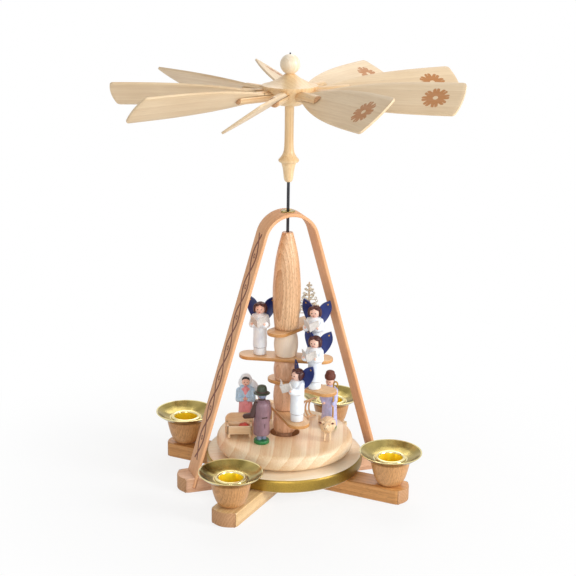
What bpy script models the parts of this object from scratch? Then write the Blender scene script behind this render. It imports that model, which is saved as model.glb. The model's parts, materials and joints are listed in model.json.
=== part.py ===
"""A turned wooden carousel that the warm air of four candles drives.

Metres, +Z up. The origin is on the spindle's axis, at the underside of the
crossed foot bars. +X runs along the bar that holds the arch.
"""

import math

import bmesh
import bpy
from mathutils import Matrix, Vector

# Gaps between pieces
SEAT_GAP = 0.0003        # between two pieces that rest on or in each other
RUNNING_GAP = 0.0022     # between the fixed disc and the turning plate
OVERRUN = 0.0010         # how far a cutting body passes the face it cuts
MERGE_DISTANCE = 0.000001

# Foot bars
BAR_WIDTH = 0.0170
BAR_THICKNESS = 0.0090
BAR_CHAMFER = 0.0007
BAR_END_BOW = 0.0036
CANDLE_BAR_REACH = 0.0823
ARCH_BAR_REACH = 0.0685
LAPPED_BARS = 3
CANDLE_COUNT = 4
CANDLE_INSET = 0.0118

# Fixed disc and the bearing in it
DISC_RADIUS = 0.0483
DISC_THICKNESS = 0.0085
BEARING_RADIUS = 0.0040
BEARING_HEIGHT = 0.0050
BEARING_CUP_RADIUS = 0.0024
BEARING_FLOOR = 0.0015

# Candle holders
CANDLE_BORE_RADIUS = 0.0070
SOCKET_WALL = 0.0006
SOCKET_DEPTH = 0.0105
SOCKET_LIP_WIDTH = 0.0019
SOCKET_LIP_HEIGHT = 0.0009
PAN_RADIUS = 0.0188
PAN_RISE = 0.0044
PAN_SHEET = 0.0006
PAN_RIM_RADIUS = 0.0006
CUP_HEIGHT = 0.0155
CUP_TOP_RADIUS = 0.0118
CUP_FOOT_RADIUS = 0.0056
CUP_EDGE = 0.0005

# Arch
ARCH_THICKNESS = 0.0019
ARCH_CROWN_HEIGHT = 0.1691
ARCH_CROWN_RADIUS = 0.0175
ARCH_FOOT_HALF_SPREAD = 0.0597
ARCH_TENON_DEPTH = 0.0060
BUSH_RADIUS = 0.0026
BUSH_FLANGE_RADIUS = 0.0042
BUSH_FLANGE_THICKNESS = 0.0006

# Spindle
ROD_RADIUS = 0.0009
ROD_TIP_LENGTH = 0.0020
ROD_PROUD_OF_BALL = 0.0008
ROD_BORE_RADIUS = ROD_RADIUS + SEAT_GAP

# Turning plate
PLATE_RADIUS = 0.0420
PLATE_THICKNESS = 0.0093
PLATE_RECESS_RADIUS = 0.0091
PLATE_RECESS_DEPTH = 0.0060

# Column on the plate
COLUMN_SPIGOT_RADIUS = 0.0046
COLUMN_FOOT_RADIUS = 0.0072
BARREL_RADIUS = 0.0074
COLUMN_TOP_RADIUS = 0.0085
COLUMN_HEADROOM = 0.0128
STEP_THICKNESS = 0.0023
STEP_WIDTH = 0.0136
STEP_EDGE = 0.0004
STEP_HEIGHTS = (0.0444, 0.0637, 0.0790, 0.0966)
STEP_LONG_REACHES = (0.0300, 0.0370, 0.0288, 0.0300)
STEP_SHORT_REACHES = (0.0120, 0.0120, 0.0288, 0.0145)
STEP_TURNS = (-89, -56, -27, 33)

# Wheel
STEM_RADIUS = 0.0061
STEM_CLEARANCE = 0.0178
STEM_LENGTH = 0.0450
HUB_RADIUS = 0.0162
HUB_BOSS_DEPTH = 0.0081
HUB_RIM_THICKNESS = 0.0032
HUB_CONE_HEIGHT = 0.0059
HUB_BOSS_RADIUS = 0.0062
BALL_RADIUS = 0.0058
BLADE_COUNT = 9
BLADE_TURN = -3.0
BLADE_RISES = (2.7, 1.2, 0.1, -0.5, -1.2, -0.6, 0.9, 1.8, 2.6)
BLADE_PITCHES = (32, 27, 31, 30, 35, 37, 36, 39, 33)
BLADE_TIP_RADIUS = 0.1040
BLADE_ROOT_RADIUS = 0.0195
BLADE_WIDTH = 0.0268
BLADE_ROOT_WIDTH = 0.0062
BLADE_THICKNESS = 0.0013
BLADE_END_BOW = 0.0016
BLADE_CORNER = 0.0020
PEG_RADIUS = 0.0028
PEG_DROP = 0.0020
PEG_TENON_RADIUS = 0.0018
PEG_INNER_RADIUS = 0.0080
PEG_SHOULDER_RADIUS = 0.0112
PEG_OUTER_RADIUS = 0.0372
PEG_NOSE = 0.0020

# Figures on the steps
ANGEL_HEIGHT = 0.0330
ANGEL_RADIUS = 0.0045
ANGEL_REACHES = (0.0208, 0.0232, 0.0175, -0.0160)
ANGEL_OFFSETS = (0.0, -0.0019, -0.0018, 0.0)
ANGEL_LEVELS = (0, 1, 2, 2)
ANGEL_FACINGS = (199, 226, 236, 244)
WING_WIDTH = 0.0076
WING_HEIGHT = 0.0140
WING_THICKNESS = 0.0012
WING_BASE_HEIGHT = 0.0208
WING_SWEEP = 28
BOOK_LEAF = 0.0060
BOOK_HEIGHT = 0.0056
BOOK_THICKNESS = 0.0009
BOOK_REACH = 0.0112
BOOK_CENTRE_HEIGHT = 0.0225
BOOK_LEAN = 24
BOOK_OPENING = 46
TREE_HEIGHT = 0.0240
TREE_RADIUS = 0.0050
TREE_REACH = 0.0225

# Figures on the plate
FIGURE_BASE_RADIUS = 0.0047
FIGURE_BASE_HEIGHT = 0.0020
MAN_HEIGHT = 0.0368
MAN_RADIUS = 0.0052
MAN_PLACE = (-0.0193, -0.0127)
MAN_FACING = 95
WOMAN_HEIGHT = 0.0345
WOMAN_RADIUS = 0.0050
WOMAN_PLACE = (-0.0205, 0.0155)
WOMAN_FACING = 250
SHEPHERD_HEIGHT = 0.0375
SHEPHERD_RADIUS = 0.0052
SHEPHERD_PLACE = (0.0284, -0.0023)
SHEPHERD_FACING = 225
STAFF_RADIUS = 0.0006
STAFF_HEIGHT = 0.0330
MANGER_LENGTH = 0.0155
MANGER_DEPTH = 0.0095
MANGER_HEIGHT = 0.0075
MANGER_BACK_HEIGHT = 0.0145
MANGER_WALL = 0.0016
MANGER_PLACE = (-0.0290, 0.0015)
MANGER_TURN = -15
SHEEP_HEIGHT = 0.0157
SHEEP_PLACE = (0.0200, -0.0218)
SHEEP_FACING = 240
OX_HEIGHT = 0.0175
OX_PLACE = (-0.0062, 0.0160)
OX_FACING = 205
LAMB_LENGTH = 0.0062
LAMB_HEIGHT = 0.0055
LAMB_PLACE = (0.0268, 0.0078)
LAMB_FACING = 240
RACK_WIDTH = 0.0095
RACK_DEPTH = 0.0060
RACK_HEIGHT = 0.0135
RACK_BAR = 0.0012
RACK_BARS = 5
RACK_PLACE = (0.0215, 0.0160)
RACK_TURN = 30

# Faces round a full turn, and profiles as shares of the sizes they follow
LARGE_SEGMENTS = 36
MEDIUM_SEGMENTS = 20
SMALL_SEGMENTS = 12
ROD_SEGMENTS = 8
FIGURE_SEGMENTS = 10
LIMB_SEGMENTS = 6
BLADE_EDGE_POINTS = 8
ARC_POINTS = 7

# (share of the radius, share of the height), from the foot up
BARREL_SHARES = ((0.83, 0.0), (0.93, 0.16), (1.0, 0.5), (0.93, 0.84), (0.83, 1.0))
FOOT_SHARES = ((0.70, 0.0), (0.90, 0.10), (0.97, 0.26), (1.0, 0.55), (0.93, 0.86), (0.84, 1.0))
COLUMN_TOP_SHARES = ((0.84, 0.0), (0.93, 0.14), (1.0, 0.36), (0.97, 0.50), (0.84, 0.70),
                     (0.66, 0.84), (0.44, 0.97), (0.38, 1.0))
STEM_SHARES = ((0.30, 0.0), (0.40, 0.02), (0.46, 0.06), (0.55, 0.16), (0.72, 0.25), (0.98, 0.27),
               (1.0, 0.29), (0.62, 0.36), (0.46, 0.46), (0.43, 0.74), (0.45, 1.0))
CUP_SHARES = ((0.90, 0.0), (1.0, 0.012), (1.22, 0.042), (1.42, 0.12), (1.66, 0.29), (1.85, 0.51),
              (2.02, 0.77))
DISC_EDGE_SHARES = ((0.30, 0.0), (0.10, 0.20), (0.0, 0.45), (0.0, 0.60), (0.14, 0.82), (0.48, 1.0))
PLATE_EDGE_SHARES = ((0.55, 0.0), (0.22, 0.14), (0.03, 0.38), (0.0, 0.56), (0.10, 0.78), (0.30, 0.92), (0.62, 1.0))
ROBE_SHARES = ((0.88, 0.0), (0.88, 0.145), (1.0, 0.165), (0.94, 0.44), (1.04, 0.67), (1.0, 0.78), (0.55, 0.85))
COAT_SHARES = ((0.98, 0.0), (1.0, 0.20), (0.92, 0.55), (1.0, 0.86), (0.55, 1.0))
DRESS_SHARES = ((1.0, 0.0), (0.90, 0.30), (0.86, 0.55), (0.96, 0.72), (0.50, 0.80))
WING_SHARES = ((0.10, 0.0), (0.46, 0.06), (0.78, 0.22), (0.96, 0.46), (1.0, 0.66), (0.97, 0.84),
               (0.88, 1.0), (0.62, 0.82), (0.38, 0.62), (0.16, 0.46), (0.0, 0.34), (0.0, 0.10))
HUB_CONE_SHARES = ((1.0, 0.0), (0.84, 0.09), (0.66, 0.27), (0.48, 0.48), (0.33, 0.69), (0.20, 0.93), (0.16, 1.0))
ROBE_SHARE = 0.9
SHEEP_BODY_SHARES = (0.42, 0.33, 0.32, 0.66)
SHEEP_HEAD_SHARES = (0.42, 0.82, 0.16)
SHEEP_LEG_SHARES = (0.22, 0.12, 0.05)
OX_BODY_SHARES = (0.42, 0.20, 0.23, 0.62)
OX_HEAD_SHARES = (0.40, 0.80, 0.17)
OX_LEG_SHARES = (0.28, 0.11, 0.06)
TREE_SHARES = ((0.12, 0.0), (0.12, 0.20), (1.0, 0.24), (0.50, 0.44), (0.86, 0.48), (0.36, 0.68),
               (0.62, 0.72), (0.0, 1.0))


def clear_scene():
    """Take away what a new file starts with."""
    for thing in list(bpy.data.objects):
        bpy.data.objects.remove(thing, do_unlink=True)


def finish_colour(name, colour, roughness, metallic=0.0):
    """A plain finish with a colour, roughness and metallic value."""
    finish = bpy.data.materials.get(name)
    if finish:
        return finish
    finish = bpy.data.materials.new(name)
    finish.use_nodes = True
    shader = finish.node_tree.nodes["Principled BSDF"]
    shader.inputs["Base Color"].default_value = (*colour, 1.0)
    shader.inputs["Roughness"].default_value = roughness
    shader.inputs["Metallic"].default_value = metallic
    finish.diffuse_color = (*colour, 1.0)
    return finish


def maple():
    return finish_colour("pale_maple", (0.80, 0.62, 0.40), 0.5)


def lime_wood():
    return finish_colour("lime_veneer", (0.72, 0.58, 0.40), 0.55)


def beech():
    return finish_colour("steamed_beech", (0.62, 0.36, 0.19), 0.5)


def dark_beech():
    return finish_colour("oiled_beech", (0.42, 0.20, 0.08), 0.5)


def lacquered_wood():
    return finish_colour("gold_lacquered_beech", (0.48, 0.36, 0.12), 0.35, 0.3)


def brass():
    return finish_colour("spun_brass", (0.60, 0.45, 0.12), 0.25, 1.0)


def steel():
    return finish_colour("drawn_steel", (0.12, 0.12, 0.13), 0.35, 1.0)


def white_paint():
    return finish_colour("white_paint", (0.80, 0.81, 0.84), 0.45)


def blue_paint():
    return finish_colour("dark_blue_paint", (0.012, 0.03, 0.12), 0.4)


def hair_paint():
    return finish_colour("red_brown_paint", (0.08, 0.012, 0.010), 0.5)


def skin_paint():
    return finish_colour("pink_paint", (0.80, 0.45, 0.36), 0.5)


def paper():
    return finish_colour("book_paper", (0.45, 0.38, 0.33), 0.8)


def coat_paint():
    return finish_colour("mauve_paint", (0.20, 0.11, 0.12), 0.55)


def hat_paint():
    return finish_colour("olive_paint", (0.04, 0.055, 0.03), 0.55)


def sleeve_paint():
    return finish_colour("dark_brown_paint", (0.06, 0.015, 0.013), 0.5)


def leg_paint():
    return finish_colour("grey_blue_paint", (0.12, 0.14, 0.22), 0.55)


def green_paint():
    return finish_colour("leaf_green_paint", (0.01, 0.13, 0.04), 0.45)


def dress_paint():
    return finish_colour("rose_paint", (0.62, 0.18, 0.20), 0.5)


def cape_paint():
    return finish_colour("sky_blue_paint", (0.30, 0.48, 0.70), 0.5)


def lilac_paint():
    return finish_colour("lilac_paint", (0.42, 0.42, 0.66), 0.5)


def fur_paint():
    return finish_colour("fur_brown_paint", (0.14, 0.05, 0.03), 0.7)


def shaving_wood():
    return finish_colour("lime_shavings", (0.80, 0.70, 0.48), 0.6)


def add_object(name, bm, finish, smooth_angle=35):
    """Make a named object of a bmesh, shaded smooth except at its corners."""
    mesh = bpy.data.meshes.new(name)
    bm.to_mesh(mesh)
    bm.free()
    mesh.materials.append(finish)
    mesh.shade_smooth()
    mesh.set_sharp_from_angle(angle=math.radians(smooth_angle))
    thing = bpy.data.objects.new(name, mesh)
    bpy.context.collection.objects.link(thing)
    return thing


def hide_helper(thing):
    """Mark a body that only cuts or joins another."""
    thing.hide_render = True
    thing.display_type = "WIRE"


def cut(thing, cutter):
    """Cut one body out of another."""
    hide_helper(cutter)
    modifier = thing.modifiers.new("cut", "BOOLEAN")
    modifier.operation = "DIFFERENCE"
    modifier.solver = "EXACT"
    modifier.object = cutter


def join(thing, *others):
    """Fuse bodies into one, each keeping its own finish."""
    for other in others:
        hide_helper(other)
        modifier = thing.modifiers.new("join", "BOOLEAN")
        modifier.operation = "UNION"
        modifier.solver = "EXACT"
        modifier.material_mode = "TRANSFER"
        modifier.object = other


def place(thing, x, y, z, turn=0.0):
    """Set a body at a place, turned about the upright."""
    thing.location = (x, y, z)
    thing.rotation_euler = (0, 0, math.radians(turn))


def parent_to(parent, *things):
    for thing in things:
        thing.parent = parent


def spin_profile(points, segments):
    """Turn (radius, height) points about the upright into a closed body."""
    bm = bmesh.new()
    verts = [bm.verts.new((radius, 0, height)) for radius, height in points]
    pairs = list(zip(verts, verts[1:]))
    if points[0][0] > 0:
        pairs.append((verts[-1], verts[0]))
    edges = [bm.edges.new(pair) for pair in pairs]
    bmesh.ops.spin(bm, geom=verts + edges, cent=(0, 0, 0), axis=(0, 0, 1),
                   angle=math.tau, steps=segments, use_merge=True)
    bmesh.ops.remove_doubles(bm, verts=bm.verts, dist=MERGE_DISTANCE)
    bmesh.ops.recalc_face_normals(bm, faces=bm.faces)
    return bm


def turned(name, points, finish, segments=MEDIUM_SEGMENTS):
    return add_object(name, spin_profile(points, segments), finish)


def share_points(shares, radius, low, high):
    """Profile points from shares of a radius and of a height."""
    return [(radius * across, low + (high - low) * up) for across, up in shares]


def turned_on_rod(name, shares, radius, low, high, finish, segments=MEDIUM_SEGMENTS):
    """A turned piece that is bored for the spindle."""
    points = share_points(shares, radius, low, high)
    bore = [(ROD_BORE_RADIUS, high), (ROD_BORE_RADIUS, low)]
    return turned(name, points + bore, finish, segments)


def turned_solid(name, shares, radius, low, high, finish, segments=FIGURE_SEGMENTS):
    """A turned piece without a bore, closed at both ends."""
    points = share_points(shares, radius, low, high)
    if points[-1][0] > 0:
        points.append((0, high))
    return turned(name, [(0, low)] + points, finish, segments)


def extrude_outline(outline, low, high):
    """Raise a flat outline in XY into a plate."""
    bm = bmesh.new()
    face = bm.faces.new([bm.verts.new((x, y, low)) for x, y in outline])
    grown = bmesh.ops.extrude_face_region(bm, geom=[face])["geom"]
    lifted = [item for item in grown if isinstance(item, bmesh.types.BMVert)]
    bmesh.ops.translate(bm, verts=lifted, vec=(0, 0, high - low))
    bmesh.ops.recalc_face_normals(bm, faces=bm.faces)
    return bm


def bevel_flat_rims(bm, width):
    """Take a small chamfer off the edges round the top and the bottom."""
    rims = [edge for edge in bm.edges
            if any(abs(face.normal.z) > 0.9 for face in edge.link_faces)
            and any(abs(face.normal.z) < 0.1 for face in edge.link_faces)]
    bmesh.ops.bevel(bm, geom=rims, offset=width, segments=1, affect="EDGES",
                    profile=0.5, material=-1)


def arc(centre_x, centre_y, radius, start, end, count=ARC_POINTS):
    """Points of an arc, its angles in degrees."""
    steps = [start + (end - start) * step / count for step in range(count + 1)]
    return [(centre_x + radius * math.cos(math.radians(a)),
             centre_y + radius * math.sin(math.radians(a))) for a in steps]


def round_ended_outline(reach_back, reach_front, width):
    """A bar along X with two half round ends."""
    half = width / 2
    front = arc(reach_front - half, 0, half, -90, 90)
    back = arc(half - reach_back, 0, half, 90, 270)
    return front + back


def bowed_end_outline(reach, width, bow):
    """A bar along X whose two ends are arcs from corner to corner."""
    half = width / 2
    radius = (half ** 2 + bow ** 2) / (bow * 2)
    spread = math.degrees(math.asin(half / radius))
    front = arc(reach - radius, 0, radius, -spread, spread)
    back = arc(radius - reach, 0, radius, 180 - spread, 180 + spread)
    return front + back


def rod_cutter(name, radius, low, high, segments=SMALL_SEGMENTS):
    points = [(0, low), (radius, low), (radius, high), (0, high)]
    cutter = turned(name, points, steel(), segments)
    hide_helper(cutter)
    return cutter


def box_body(name, size, centre, finish):
    """A block of a size about a centre."""
    bm = bmesh.new()
    bmesh.ops.create_cube(bm, size=1.0)
    bmesh.ops.scale(bm, vec=size, verts=bm.verts)
    bmesh.ops.translate(bm, vec=centre, verts=bm.verts)
    return add_object(name, bm, finish)


def ellipsoid(name, radii, centre, finish, segments=FIGURE_SEGMENTS):
    """A rounded lump of three half sizes about a centre."""
    bm = bmesh.new()
    bmesh.ops.create_uvsphere(bm, u_segments=segments, v_segments=segments // 2, radius=1.0)
    bmesh.ops.scale(bm, vec=radii, verts=bm.verts)
    bmesh.ops.translate(bm, vec=centre, verts=bm.verts)
    return add_object(name, bm, finish)


def limb(name, start, end, start_radius, end_radius, finish, segments=LIMB_SEGMENTS):
    """A tapered round bar between two places."""
    start, end = Vector(start), Vector(end)
    bm = bmesh.new()
    bmesh.ops.create_cone(bm, cap_ends=True, segments=segments, radius1=start_radius,
                          radius2=end_radius, depth=(end - start).length)
    turn = (end - start).to_track_quat("Z", "Y").to_matrix().to_4x4()
    bmesh.ops.transform(bm, matrix=Matrix.Translation((start + end) / 2) @ turn, verts=bm.verts)
    return add_object(name, bm, finish)


DISC_TOP = BAR_THICKNESS + SEAT_GAP + DISC_THICKNESS
PLATE_FOOT = DISC_TOP + RUNNING_GAP
PLATE_TOP = PLATE_FOOT + PLATE_THICKNESS
RECESS_FLOOR = PLATE_TOP - PLATE_RECESS_DEPTH
COLUMN_TOP = ARCH_CROWN_HEIGHT - COLUMN_HEADROOM
CANDLE_CIRCLE_RADIUS = CANDLE_BAR_REACH - CANDLE_INSET
CUP_FOOT = BAR_THICKNESS + SEAT_GAP
CUP_TOP = CUP_FOOT + CUP_HEIGHT
SOCKET_OUTER_RADIUS = CANDLE_BORE_RADIUS + SOCKET_WALL
PAN_FLOOR = CUP_TOP + SEAT_GAP + PAN_SHEET
ARCH_FOOT_HEIGHT = BAR_THICKNESS
STEM_FOOT_HEIGHT = ARCH_CROWN_HEIGHT + STEM_CLEARANCE
HUB_FOOT_HEIGHT = STEM_FOOT_HEIGHT + STEM_LENGTH + SEAT_GAP
HUB_RIM_HEIGHT = HUB_FOOT_HEIGHT + HUB_BOSS_DEPTH
PEG_HEIGHT = HUB_RIM_HEIGHT - PEG_DROP
HUB_TOP = HUB_RIM_HEIGHT + HUB_RIM_THICKNESS + HUB_CONE_HEIGHT
BALL_HEIGHT = HUB_TOP + SEAT_GAP + BALL_RADIUS
ROD_FOOT = DISC_TOP - BEARING_HEIGHT + BEARING_FLOOR + SEAT_GAP
ROD_TOP = BALL_HEIGHT + BALL_RADIUS + ROD_PROUD_OF_BALL
FIGURE_FLOOR = PLATE_TOP + SEAT_GAP


def lap_cutter(name, low, high, turn):
    """The block that a lapped bar leaves free for a bar that crosses it."""
    width = BAR_WIDTH + SEAT_GAP * 2
    cutter = box_body(name, (BAR_WIDTH * 3, width, high - low), (0, 0, (high + low) / 2), beech())
    place(cutter, 0, 0, 0, turn)
    return cutter


def foot_bar(name, reach, turn, layer, bars_below, bars_above, finish):
    """One bar of the foot, thinned where other bars pass below it and above it."""
    bm = extrude_outline(bowed_end_outline(reach, BAR_WIDTH, BAR_END_BOW), 0, BAR_THICKNESS)
    bevel_flat_rims(bm, BAR_CHAMFER)
    bar = add_object(name, bm, finish)
    place(bar, 0, 0, 0, turn)
    third = BAR_THICKNESS / LAPPED_BARS
    low = third * layer + SEAT_GAP / 2
    high = third * (layer + 1) - SEAT_GAP / 2
    for crossing in bars_below:
        cut(bar, lap_cutter(f"{name}_lap_under_{crossing}", -OVERRUN, low, crossing))
    for crossing in bars_above:
        cut(bar, lap_cutter(f"{name}_lap_over_{crossing}", high, BAR_THICKNESS + OVERRUN, crossing))
    return bar


def foot():
    """Three bars that cross under the disc, one for the arch and two for the candles."""
    lower, middle, upper = 45, -45, 0
    foot_bar("candle_bar_lower", CANDLE_BAR_REACH, lower, 0, (), (middle, upper), dark_beech())
    foot_bar("candle_bar_middle", CANDLE_BAR_REACH, middle, 1, (lower,), (upper,), dark_beech())
    arch_bar = foot_bar("arch_bar", ARCH_BAR_REACH, upper, 2, (lower, middle), (), dark_beech())
    for side in (1, -1):
        cut(arch_bar, arch_slot_cutter(side))


def arch_slot_cutter(side):
    """The sloping slot that one end of the arch stands in."""
    slot = arch_leg_outline(side, SEAT_GAP, BAR_THICKNESS + OVERRUN)
    bm = extrude_outline(slot, -BAR_WIDTH, BAR_WIDTH)
    bmesh.ops.rotate(bm, cent=(0, 0, 0), matrix=Matrix.Rotation(math.radians(90), 3, "X"), verts=bm.verts)
    return add_object("arch_slot_cutter", bm, beech())


def arch_lean():
    """The angle at which the arch's legs lean in, from the foot spread and the crown."""
    rise = ARCH_CROWN_HEIGHT - ARCH_CROWN_RADIUS - ARCH_FOOT_HEIGHT
    spread = ARCH_FOOT_HALF_SPREAD
    return math.acos(ARCH_CROWN_RADIUS / math.hypot(rise, spread)) - math.atan2(rise, spread)


def arch_leg_outline(side, grow, top):
    """The part of a leg below a height, as an outline in XZ with a margin round it."""
    lean = arch_lean()
    slope = math.tan(lean)
    thick = ARCH_THICKNESS / math.cos(lean)
    margin = grow / math.cos(lean)
    foot_height = ARCH_FOOT_HEIGHT - ARCH_TENON_DEPTH - grow
    points = []
    for height, inner in ((foot_height, 0), (foot_height, 1), (top, 1), (top, 0)):
        outer_x = ARCH_FOOT_HALF_SPREAD - slope * (height - ARCH_FOOT_HEIGHT)
        x = outer_x - thick - margin if inner else outer_x + margin
        points.append((side * x, height))
    return points


def arch():
    """The bent strip that carries the upper bearing."""
    lean = arch_lean()
    lean_degrees = math.degrees(lean)
    slope = math.tan(lean)
    thick = ARCH_THICKNESS / math.cos(lean)
    foot_height = ARCH_FOOT_HEIGHT - ARCH_TENON_DEPTH
    drop = slope * (foot_height - ARCH_FOOT_HEIGHT)
    outer_foot = ARCH_FOOT_HALF_SPREAD - drop
    inner_foot = outer_foot - thick
    crown_centre = ARCH_CROWN_HEIGHT - ARCH_CROWN_RADIUS
    inner_radius = ARCH_CROWN_RADIUS - ARCH_THICKNESS
    outer = arc(0, crown_centre, ARCH_CROWN_RADIUS, lean_degrees, 180 - lean_degrees, ARC_POINTS * 2)
    inner = arc(0, crown_centre, inner_radius, 180 - lean_degrees, lean_degrees, ARC_POINTS * 2)
    outline = ([(outer_foot, foot_height)] + outer
               + [(-outer_foot, foot_height), (-inner_foot, foot_height)]
               + inner + [(inner_foot, foot_height)])
    half = BAR_WIDTH / 2 - BAR_CHAMFER / 2
    bm = extrude_outline(outline, -half, half)
    bmesh.ops.rotate(bm, cent=(0, 0, 0), matrix=Matrix.Rotation(math.radians(90), 3, "X"), verts=bm.verts)
    strip = add_object("arch", bm, beech(), 50)
    low = crown_centre
    cut(strip, rod_cutter("arch_bush_hole", BUSH_RADIUS + SEAT_GAP, low, ARCH_CROWN_HEIGHT + OVERRUN))
    flange_seat = ARCH_CROWN_HEIGHT - BUSH_FLANGE_THICKNESS
    cut(strip, rod_cutter("arch_bush_seat", BUSH_FLANGE_RADIUS + SEAT_GAP, flange_seat,
                          ARCH_CROWN_HEIGHT + OVERRUN))


def arch_bush():
    """The brass eyelet in the crown that the spindle turns in."""
    top = ARCH_CROWN_HEIGHT + SEAT_GAP
    under = ARCH_CROWN_HEIGHT - BUSH_FLANGE_THICKNESS + SEAT_GAP
    low = ARCH_CROWN_HEIGHT - ARCH_THICKNESS
    turned("arch_bush", [(BUSH_RADIUS, low), (BUSH_RADIUS, under), (BUSH_FLANGE_RADIUS, under),
                         (BUSH_FLANGE_RADIUS, top), (ROD_BORE_RADIUS, top), (ROD_BORE_RADIUS, low)],
           brass(), SMALL_SEGMENTS)


def edge_points(shares, radius, low, high):
    """Points of a rounded rim, each set in from the radius by a share of the height."""
    height = high - low
    return [(radius - height * inset / 2, low + height * up) for inset, up in shares]


def base_disc():
    """The fixed disc on the bars, bored for the bearing."""
    low = BAR_THICKNESS + SEAT_GAP
    bore = BEARING_RADIUS + SEAT_GAP
    floor = DISC_TOP - BEARING_HEIGHT - SEAT_GAP
    points = edge_points(DISC_EDGE_SHARES, DISC_RADIUS, low, DISC_TOP)
    turned("base_disc", [(0, low)] + points + [(bore, DISC_TOP), (bore, floor), (0, floor)],
           lacquered_wood(), LARGE_SEGMENTS)


def bearing_cup():
    """The small cup that the spindle's point runs in."""
    low = DISC_TOP - BEARING_HEIGHT
    floor = low + BEARING_FLOOR
    mouth = floor + ROD_TIP_LENGTH
    turned("bearing_cup", [(0, low), (BEARING_RADIUS, low), (BEARING_RADIUS, DISC_TOP),
                           (BEARING_CUP_RADIUS, DISC_TOP), (BEARING_CUP_RADIUS, mouth), (0, floor)],
           brass(), SMALL_SEGMENTS)


def candle_places():
    turns = [45 + 360 / CANDLE_COUNT * index for index in range(CANDLE_COUNT)]
    return [(index + 1, CANDLE_CIRCLE_RADIUS * math.cos(math.radians(a)),
             CANDLE_CIRCLE_RADIUS * math.sin(math.radians(a))) for index, a in enumerate(turns)]


def candle_cups():
    """Turned wooden cups that stand on the bar ends."""
    bore = SOCKET_OUTER_RADIUS + SEAT_GAP
    floor = CUP_TOP - SOCKET_DEPTH - SOCKET_WALL
    for number, x, y in candle_places():
        points = share_points(CUP_SHARES, CUP_FOOT_RADIUS, CUP_FOOT, CUP_TOP)
        rim = [(CUP_TOP_RADIUS, CUP_TOP - CUP_EDGE), (CUP_TOP_RADIUS - CUP_EDGE, CUP_TOP)]
        well = [(bore, CUP_TOP), (bore, floor), (0, floor)]
        cup = turned(f"candle_cup_{number}", [(0, CUP_FOOT)] + points + rim + well, beech())
        place(cup, x, y, 0)


def drip_pans():
    """Spun brass pans, each in one piece with the socket for its candle."""
    under = CUP_TOP + SEAT_GAP
    rim = under + PAN_RISE + PAN_SHEET
    socket_floor = CUP_TOP + SEAT_GAP - SOCKET_DEPTH
    lip_radius = CANDLE_BORE_RADIUS + SOCKET_LIP_WIDTH
    lip_top = PAN_FLOOR + SOCKET_LIP_HEIGHT
    shelf = CUP_TOP_RADIUS - CUP_EDGE
    turn_up = (PAN_RADIUS + shelf) / 2
    outside = [(0, socket_floor), (SOCKET_OUTER_RADIUS, socket_floor), (SOCKET_OUTER_RADIUS, under),
               (shelf, under), (turn_up, under + PAN_RISE / 3), (PAN_RADIUS, rim - PAN_RIM_RADIUS)]
    inside = [(PAN_RADIUS, rim), (PAN_RADIUS - PAN_RIM_RADIUS, rim),
              (turn_up - PAN_SHEET, PAN_FLOOR + PAN_RISE / 3), (shelf, PAN_FLOOR),
              (lip_radius, PAN_FLOOR), (lip_radius, lip_top), (CANDLE_BORE_RADIUS, lip_top),
              (CANDLE_BORE_RADIUS, socket_floor + PAN_SHEET), (0, socket_floor + PAN_SHEET)]
    for number, x, y in candle_places():
        pan = turned(f"drip_pan_{number}", outside + inside, brass())
        place(pan, x, y, 0)


def carousel_parts(spindle):
    """All that turns with the spindle, gathered on an empty on its axis."""
    parent_to(spindle, spindle_rod(), turning_plate(), *column(), *wheel_core(spindle))
    parent_to(spindle, *[angel(index) for index in range(len(ANGEL_LEVELS))])
    parent_to(spindle, shavings_tree(), man_in_hat(), woman_in_veil(), shepherd(), manger(),
              hay_rack(), *animals())


def spindle_rod():
    """The steel rod, pointed at its foot."""
    shoulder = ROD_FOOT + ROD_TIP_LENGTH
    return turned("spindle_rod", [(0, ROD_FOOT), (ROD_RADIUS, shoulder), (ROD_RADIUS, ROD_TOP), (0, ROD_TOP)],
                  steel(), ROD_SEGMENTS)


def turning_plate():
    """The round plate with a full rounded edge and a recess for the column."""
    points = edge_points(PLATE_EDGE_SHARES, PLATE_RADIUS, PLATE_FOOT, PLATE_TOP)
    recess = [(PLATE_RECESS_RADIUS, PLATE_TOP), (PLATE_RECESS_RADIUS, RECESS_FLOOR)]
    bore = [(ROD_BORE_RADIUS, RECESS_FLOOR), (ROD_BORE_RADIUS, PLATE_FOOT)]
    return turned("turning_plate", points + recess + bore, maple(), LARGE_SEGMENTS)


def column():
    """The stacked barrels, with a step held between each pair."""
    pieces = [column_foot()]
    names = ("column_barrel_low", "column_barrel_middle", "column_barrel_high")
    for index, name in enumerate(names):
        low = STEP_HEIGHTS[index] + SEAT_GAP
        high = STEP_HEIGHTS[index + 1] - STEP_THICKNESS - SEAT_GAP
        pieces.append(turned_on_rod(name, BARREL_SHARES, BARREL_RADIUS, low, high, beech()))
    low = STEP_HEIGHTS[-1] + SEAT_GAP
    pieces.append(turned_on_rod("column_top", COLUMN_TOP_SHARES, COLUMN_TOP_RADIUS, low, COLUMN_TOP, maple()))
    for index in range(len(STEP_HEIGHTS)):
        pieces.append(step(index))
    return pieces


def column_foot():
    """The lowest barrel, with a spigot that stands in the plate's recess."""
    shoulder = PLATE_TOP
    high = STEP_HEIGHTS[0] - STEP_THICKNESS - SEAT_GAP
    low = RECESS_FLOOR + SEAT_GAP
    spigot = [(COLUMN_SPIGOT_RADIUS, low), (COLUMN_SPIGOT_RADIUS, shoulder)]
    points = share_points(FOOT_SHARES, COLUMN_FOOT_RADIUS, shoulder, high)
    bore = [(ROD_BORE_RADIUS, high), (ROD_BORE_RADIUS, low)]
    return turned("column_foot", spigot + points + bore, beech())


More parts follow.
